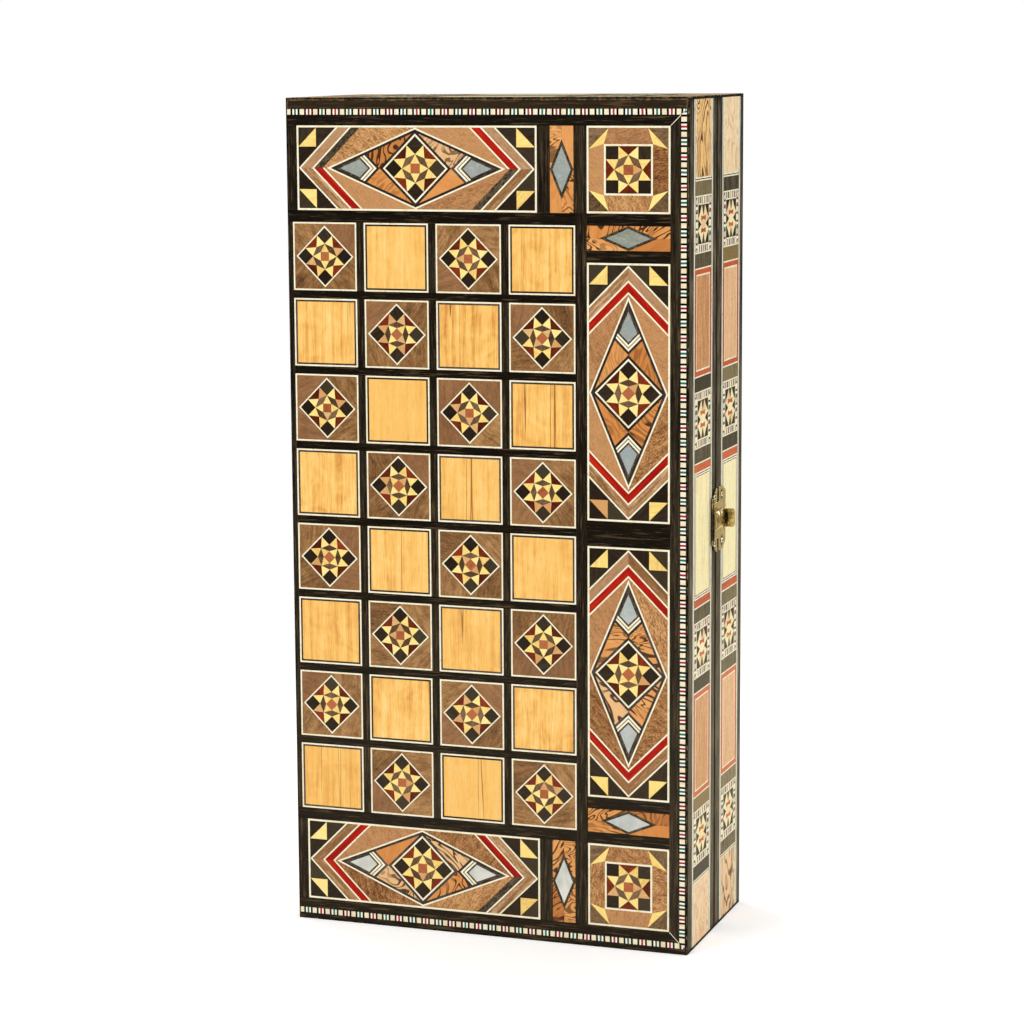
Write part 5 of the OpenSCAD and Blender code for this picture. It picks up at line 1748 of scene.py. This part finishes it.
@dataclass
class Half:
    """One half of the board: its case, its marquetry and its backgammon table."""

    side: str

    @property
    def body(self) -> str:
        """Body that the half belongs to."""
        return f"{self.side}_half"

    def star_chips(self) -> list[Chips]:
        """Chips of the squares and of the stars in them.

        Returns:
            One entry for each node.
        """
        n, face, band = self.side, Place.FACE, Place.BAND
        return [
            Chips(
                f"{n}_maple_fields",
                "maple",
                (
                    Kind("squares", MAPLE, Grain.UPRIGHT, face),
                    Kind("side_panels", PALE_MAPLE, Grain.UPRIGHT, band),
                ),
            ),
            Chips(
                f"{n}_star_points",
                "lemonwood",
                (
                    Kind("rays", LEMONWOOD, Grain.ANY, face, odd_share=0.16),
                    Kind("petals", PETAL, Grain.ANY, band, odd_share=0.12),
                ),
            ),
            Chips(
                f"{n}_star_hearts",
                "brown_walnut",
                (
                    Kind("kites", STAR_KITE, Grain.ANY, face, round_is_odd=True),
                    Kind("hearts", SIDE_HEART, Grain.ANY, band),
                ),
            ),
        ]

    def panel_chips(self) -> list[Chips]:
        """Chips of the panels in the border and of the bands round the sides.

        Returns:
            One entry for each node.
        """
        n, face, band = self.side, Place.FACE, Place.BAND
        framed = SIDE_WALNUT if n == "front" else SIDE_PEACH
        head, foot = (SIDE_OLIVE, SIDE_CREAM) if n == "front" else (SIDE_CREAM, SIDE_OLIVE)
        return [
            Chips(
                f"{n}_walnut_fields",
                "walnut",
                (
                    Kind("triangles", DEEP_WALNUT, Grain.ANY, face, (0.0, 14.0)),
                    Kind("corners", STAR_WALNUT, Grain.ANY, face, (14.0, 24.0), odd_share=0.25),
                    Kind("fields", FIELD_WALNUT, Grain.ANY, face, odd_share=0.3),
                    Kind("side_panels", framed, Grain.UPRIGHT, band),
                ),
            ),
            Chips(
                f"{n}_red_inlays",
                "redwood",
                (
                    Kind("bands", RED_BAND, Grain.ALONG, face, (24.0, math.inf)),
                    Kind("points", REDWOOD, Grain.ANY, face),
                    Kind("frames", SIDE_RED, Grain.ALONG, band, odd_share=0.2),
                ),
            ),
            Chips(
                f"{n}_ebony_inlays",
                "ebony",
                (
                    Kind("arms", DARK_ARM, Grain.ALONG, face, (18.0, math.inf)),
                    Kind("chips", EBONY_CHIP, Grain.ANY, face, odd_share=0.15),
                    Kind("blocks", SIDE_BLOCK, Grain.UPRIGHT, band, (20.0, math.inf), odd_share=0.15),
                    Kind("darts", SIDE_DART, Grain.ANY, band),
                ),
            ),
            Chips(
                f"{n}_olive_inlays",
                "olive_wood",
                (
                    Kind("quarters", OLIVE, Grain.ANY, face, odd_share=0.18),
                    Kind("side_heads", head, Grain.UPRIGHT, Place.HIGH_BAND),
                    Kind("side_feet", foot, Grain.UPRIGHT, Place.LOW_BAND, odd_share=1.0),
                ),
            ),
        ]

    def plain_chips(self) -> list[Chips]:
        """Chips of the nodes that hold only one or two kinds.

        Returns:
            One entry for each node.
        """
        n, face = self.side, Place.FACE
        lines = (
            Kind("face", BONE, Grain.ALONG, face),
            Kind("side", SIDE_BONE, Grain.ALONG, Place.BAND, (200.0, math.inf)),
            Kind("frames", BONE, Grain.ALONG, Place.BAND),
        )
        return [
            Chips(f"{n}_bone_lines", "bone", lines),
            Chips(f"{n}_dark_lines", "ebony", (Kind("all", DARK_LINE, Grain.ALONG),)),
            Chips(f"{n}_pearl_inlays", "mother_of_pearl", (Kind("all", PEARL),)),
            Chips(
                f"{n}_light_bands",
                "light_walnut",
                (Kind("all", LIGHT_WALNUT, Grain.ALONG, odd_share=0.3),),
            ),
            Chips(f"{n}_dark_points", "redwood", (Kind("all", REDWOOD, Grain.ALONG),)),
            Chips(f"{n}_light_points", "maple", (Kind("all", MAPLE, Grain.ALONG),)),
        ]

    def build(self, frame: dict) -> None:
        """Builds and dresses everything in the half.
        """
        for chips in self.star_chips() + self.panel_chips() + self.plain_chips():
            chips.build(frame, self.body)
        MosaicString(f"{self.side}_mosaic_string").build(frame, self.body)
        EbonyStrips(f"{self.side}_ebony_ground").build(self.body)
        for part in ("panel", "hinge_wall", "latch_wall"):
            dress(frame["nodes"][f"{self.side}_{part}"], CASE_UPRIGHT)
        for part in ("top_wall", "bottom_wall"):
            dress(frame["nodes"][f"{self.side}_{part}"], CASE_LEVEL)
        dress(frame["nodes"][f"{self.side}_floor"], FLOOR_WALNUT)


@dataclass
class Fitting:
    """A brass fitting, copied from its CAD node to break its edges."""

    node: str
    body: str
    edge_mm: float = 0.15
    finish: Finish = BRASS
    edge_steps: int = 3

    def build(self, frame: dict) -> None:
        """Copies the node, rounds its edges a little and dresses it.
        """
        mesh = Mesh.of_node(frame["nodes"][self.node])
        piece = mesh.to_object(f"{self.node}_brass", {})
        piece.data.shade_smooth()
        piece.data.set_sharp_from_angle(angle=SMOOTH_ANGLE)
        soften(piece, self.edge_mm, self.edge_steps)
        settle(piece, self.node, self.body, self.finish)
        log.info("%s: brass", self.node)


@dataclass
class Hardware:
    """The brass fittings: hinges, screws, clasp and nails."""

    fittings: tuple[Fitting, ...] = (
        Fitting("front_hinge_leaves", "front_half"),
        Fitting("back_hinge_leaves", "back_half"),
        Fitting("hinge_pins", "back_half", 0.1),
        Fitting("front_hinge_screws", "front_half", 0.08),
        Fitting("back_hinge_screws", "back_half", 0.08),
        Fitting("clasp_plate", "front_half", 0.2, PLATE_BRASS),
        Fitting("clasp_hasp", "hasp", 0.32, HASP_BRASS),
        Fitting("clasp_pin", "front_half", 0.1),
        Fitting("clasp_keeper", "back_half", 0.2, PLATE_BRASS),
        Fitting("front_clasp_nails", "front_half", 0.1, NAIL_BRASS),
        Fitting("back_clasp_nails", "back_half", 0.1, NAIL_BRASS),
    )

    def build(self, frame: dict) -> None:
        """Builds every fitting."""
        for fitting in self.fittings:
            fitting.build(frame)


# Stage


@dataclass(frozen=True)
class Lamp:
    """A square soft lamp: its middle and side in metres, its power in watts and its colour."""

    name: str
    place: Point
    size: float
    power: float
    colour: Colour = WHITE

    def build(self, target: Vector) -> None:
        """Adds the lamp.

        Args:
            target: Point that it is turned to.
        """
        data = bpy.data.lights.new(self.name, "AREA")
        data.shape = "SQUARE"
        data.size = self.size
        data.energy = self.power
        data.color = self.colour
        lamp = bpy.data.objects.new(self.name, data)
        look = target - Vector(self.place)
        lamp.rotation_euler = look.to_track_quat("-Z", "Y").to_euler()
        lamp.location = self.place
        bpy.context.scene.collection.objects.link(lamp)


@dataclass
class Studio:
    """Camera, floor, lamps and world.

    turn is how far the camera stands round the board from its front, in degrees, rise is how far
    it looks down, and roll is its tilt. offset is the middle of the board in the camera's axes.
    Radii of the floor are metres: paper turns from lit to plain white, and a mirror's view of it
    ends in the dark. corner gives the x and the y at which that darkness sets in less, by the
    share corner_less. pale and warm_pale are the floor's tones in light and in a mirror, and
    glow is the light that it gives off by itself.
    """

    lens_mm: float = 104.75
    sensor_mm: float = 36.0
    shift: tuple[float, float] = (0.0464, -0.0124)
    clip: tuple[float, float] = (0.05, 50.0)
    turn: float = 20.193
    rise: float = 8.618
    roll: float = -0.486
    offset: Point = (0.032848, 0.006943, 1.809738)
    target: Point = (-0.0035, 0.0, 0.25)
    floor_half: float = 8.0
    paper: tuple[float, float] = (0.45, 0.85)
    mirror_end: tuple[float, float] = (0.85, 1.10)
    corner: tuple[tuple[float, float], tuple[float, float]] = ((-0.1, 0.25), (0.2, 0.5))
    mirror_dark: float = 0.97
    corner_less: float = 0.45
    pale: Colour = (0.86, 0.86, 0.86)
    warm_pale: Colour = (0.84, 0.72, 0.50)
    glow: float = 0.3
    world_light: float = 0.62
    mirror_light: float = 0.15
    warm: Colour = (1.0, 0.86, 0.60)
    lamps: tuple[Lamp, ...] = (
        Lamp("key", (-1.3, -2.4, 2.1), 1.4, 40.0, (1.0, 0.99, 0.97)),
        Lamp("fill", (2.5, -0.9, 1.6), 1.2, 24.0),
        Lamp("back", (-2.4, 1.7, 1.8), 1.4, 26.0),
        Lamp("rim", (0.95, 2.4, 1.4), 0.8, 16.0, (1.0, 0.97, 0.9)),
    )

    def camera(self) -> None:
        """Puts the camera where the photo was taken from."""
        a, e, r = (math.radians(v) for v in (self.turn, self.rise, self.roll))
        around = Matrix(((math.cos(a), math.sin(a), 0), (-math.sin(a), math.cos(a), 0), (0, 0, 1)))
        axes = Matrix(((1, 0, 0), (0, 0, -1), (0, 1, 0)))
        tilt = Matrix(((1, 0, 0), (0, math.cos(e), -math.sin(e)), (0, math.sin(e), math.cos(e))))
        rolled = Matrix(((math.cos(r), -math.sin(r), 0), (math.sin(r), math.cos(r), 0), (0, 0, 1)))
        seen = rolled @ tilt @ axes @ around
        back = seen.transposed()
        place = Vector(self.target) - back @ Vector(self.offset)
        turned = Matrix((seen[0], -Vector(seen[1]), -Vector(seen[2]))).transposed()
        data = bpy.data.cameras.new("camera")
        data.lens = self.lens_mm
        data.sensor_width = self.sensor_mm
        data.shift_x, data.shift_y = self.shift
        data.clip_start, data.clip_end = self.clip
        camera = bpy.data.objects.new("camera", data)
        camera.matrix_world = Matrix.Translation(place) @ turned.to_4x4()
        bpy.context.scene.collection.objects.link(camera)
        bpy.context.scene.camera = camera
        log.info("camera at %s", [round(v, 3) for v in place])

    def floor(self) -> None:
        """A pale floor that reads white, keeps the shadow, and ends in the dark for a mirror."""
        corners = np.array([[-1, -1, 0], [1, -1, 0], [1, 1, 0], [-1, 1, 0]]) * self.floor_half
        data = bpy.data.meshes.new("floor")
        data.from_pydata(corners.tolist(), [], [[0, 1, 2, 3]])
        floor = bpy.data.objects.new("floor", data)
        bpy.context.scene.collection.objects.link(floor)
        g = Graph(bpy.data.materials.new("floor"))
        place = g.node("ShaderNodeTexCoord").outputs["Object"]
        apart = g.node("ShaderNodeSeparateXYZ", {0: place}).outputs
        reach = g.vector("LENGTH", place)
        corner = g.times(*(g.step(apart[i], *self.corner[i]) for i in range(2)))
        dark = g.math("MULTIPLY_ADD", corner, -self.corner_less, self.mirror_dark)
        dim = g.times(g.step(reach, *self.mirror_end), dark)
        ray = g.node("ShaderNodeLightPath").outputs
        mirror = g.times(ray["Is Glossy Ray"], dim)
        pale = g.mix(ray["Is Glossy Ray"], self.pale, self.warm_pale)
        shade = g.node("ShaderNodeBsdfDiffuse", {"Color": pale}).outputs[0]
        glow = g.node("ShaderNodeEmission", {"Color": WHITE, "Strength": self.glow}).outputs[0]
        lit = g.node("ShaderNodeAddShader", {0: shade, 1: glow}).outputs[0]
        bare = g.node("ShaderNodeEmission", {"Color": WHITE, "Strength": 1.0}).outputs[0]
        paper = g.node("ShaderNodeMixShader", {0: g.step(reach, *self.paper), 1: lit, 2: bare}).outputs[0]
        seen = g.node("ShaderNodeMixShader", {0: ray["Is Camera Ray"], 1: shade, 2: paper}).outputs[0]
        black = g.node("ShaderNodeEmission", {"Strength": 0.0}).outputs[0]
        ended = g.node("ShaderNodeMixShader", {0: mirror, 1: seen, 2: black}).outputs[0]
        g.node("ShaderNodeOutputMaterial", {"Surface": ended})
        data.materials.append(g.owner)

    def world(self) -> None:
        """White for the camera, soft light for the rest, and dimmer in a mirror."""
        g = Graph(bpy.data.worlds.new("studio"))
        ray = g.node("ShaderNodeLightPath").outputs
        glossy = ray["Is Glossy Ray"]
        ends = {0: glossy, 3: self.world_light, 4: self.mirror_light}
        strength = g.node("ShaderNodeMapRange", ends).outputs[0]
        tint = g.mix(glossy, WHITE, self.warm)
        soft = g.node("ShaderNodeBackground", {"Color": tint, "Strength": strength}).outputs[0]
        white = g.node("ShaderNodeBackground", {"Color": WHITE}).outputs[0]
        both = g.node("ShaderNodeMixShader", {0: ray["Is Camera Ray"], 1: soft, 2: white}).outputs[0]
        g.node("ShaderNodeOutputWorld", {"Surface": both})
        bpy.context.scene.world = g.owner

    def build(self) -> None:
        """Sets the whole stage."""
        self.camera()
        self.floor()
        self.world()
        for lamp in self.lamps:
            lamp.build(Vector(self.target))
        bpy.context.scene.view_settings.view_transform = "Standard"


def main() -> None:
    """Builds the looks round the CAD frame."""
    logging.basicConfig(level=logging.INFO, format="%(name)s: %(message)s")
    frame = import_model()
    Studio().build()
    for side in ("front", "back"):
        Half(side).build(frame)
    Hardware().build(frame)


if __name__ == "__main__":
    main()
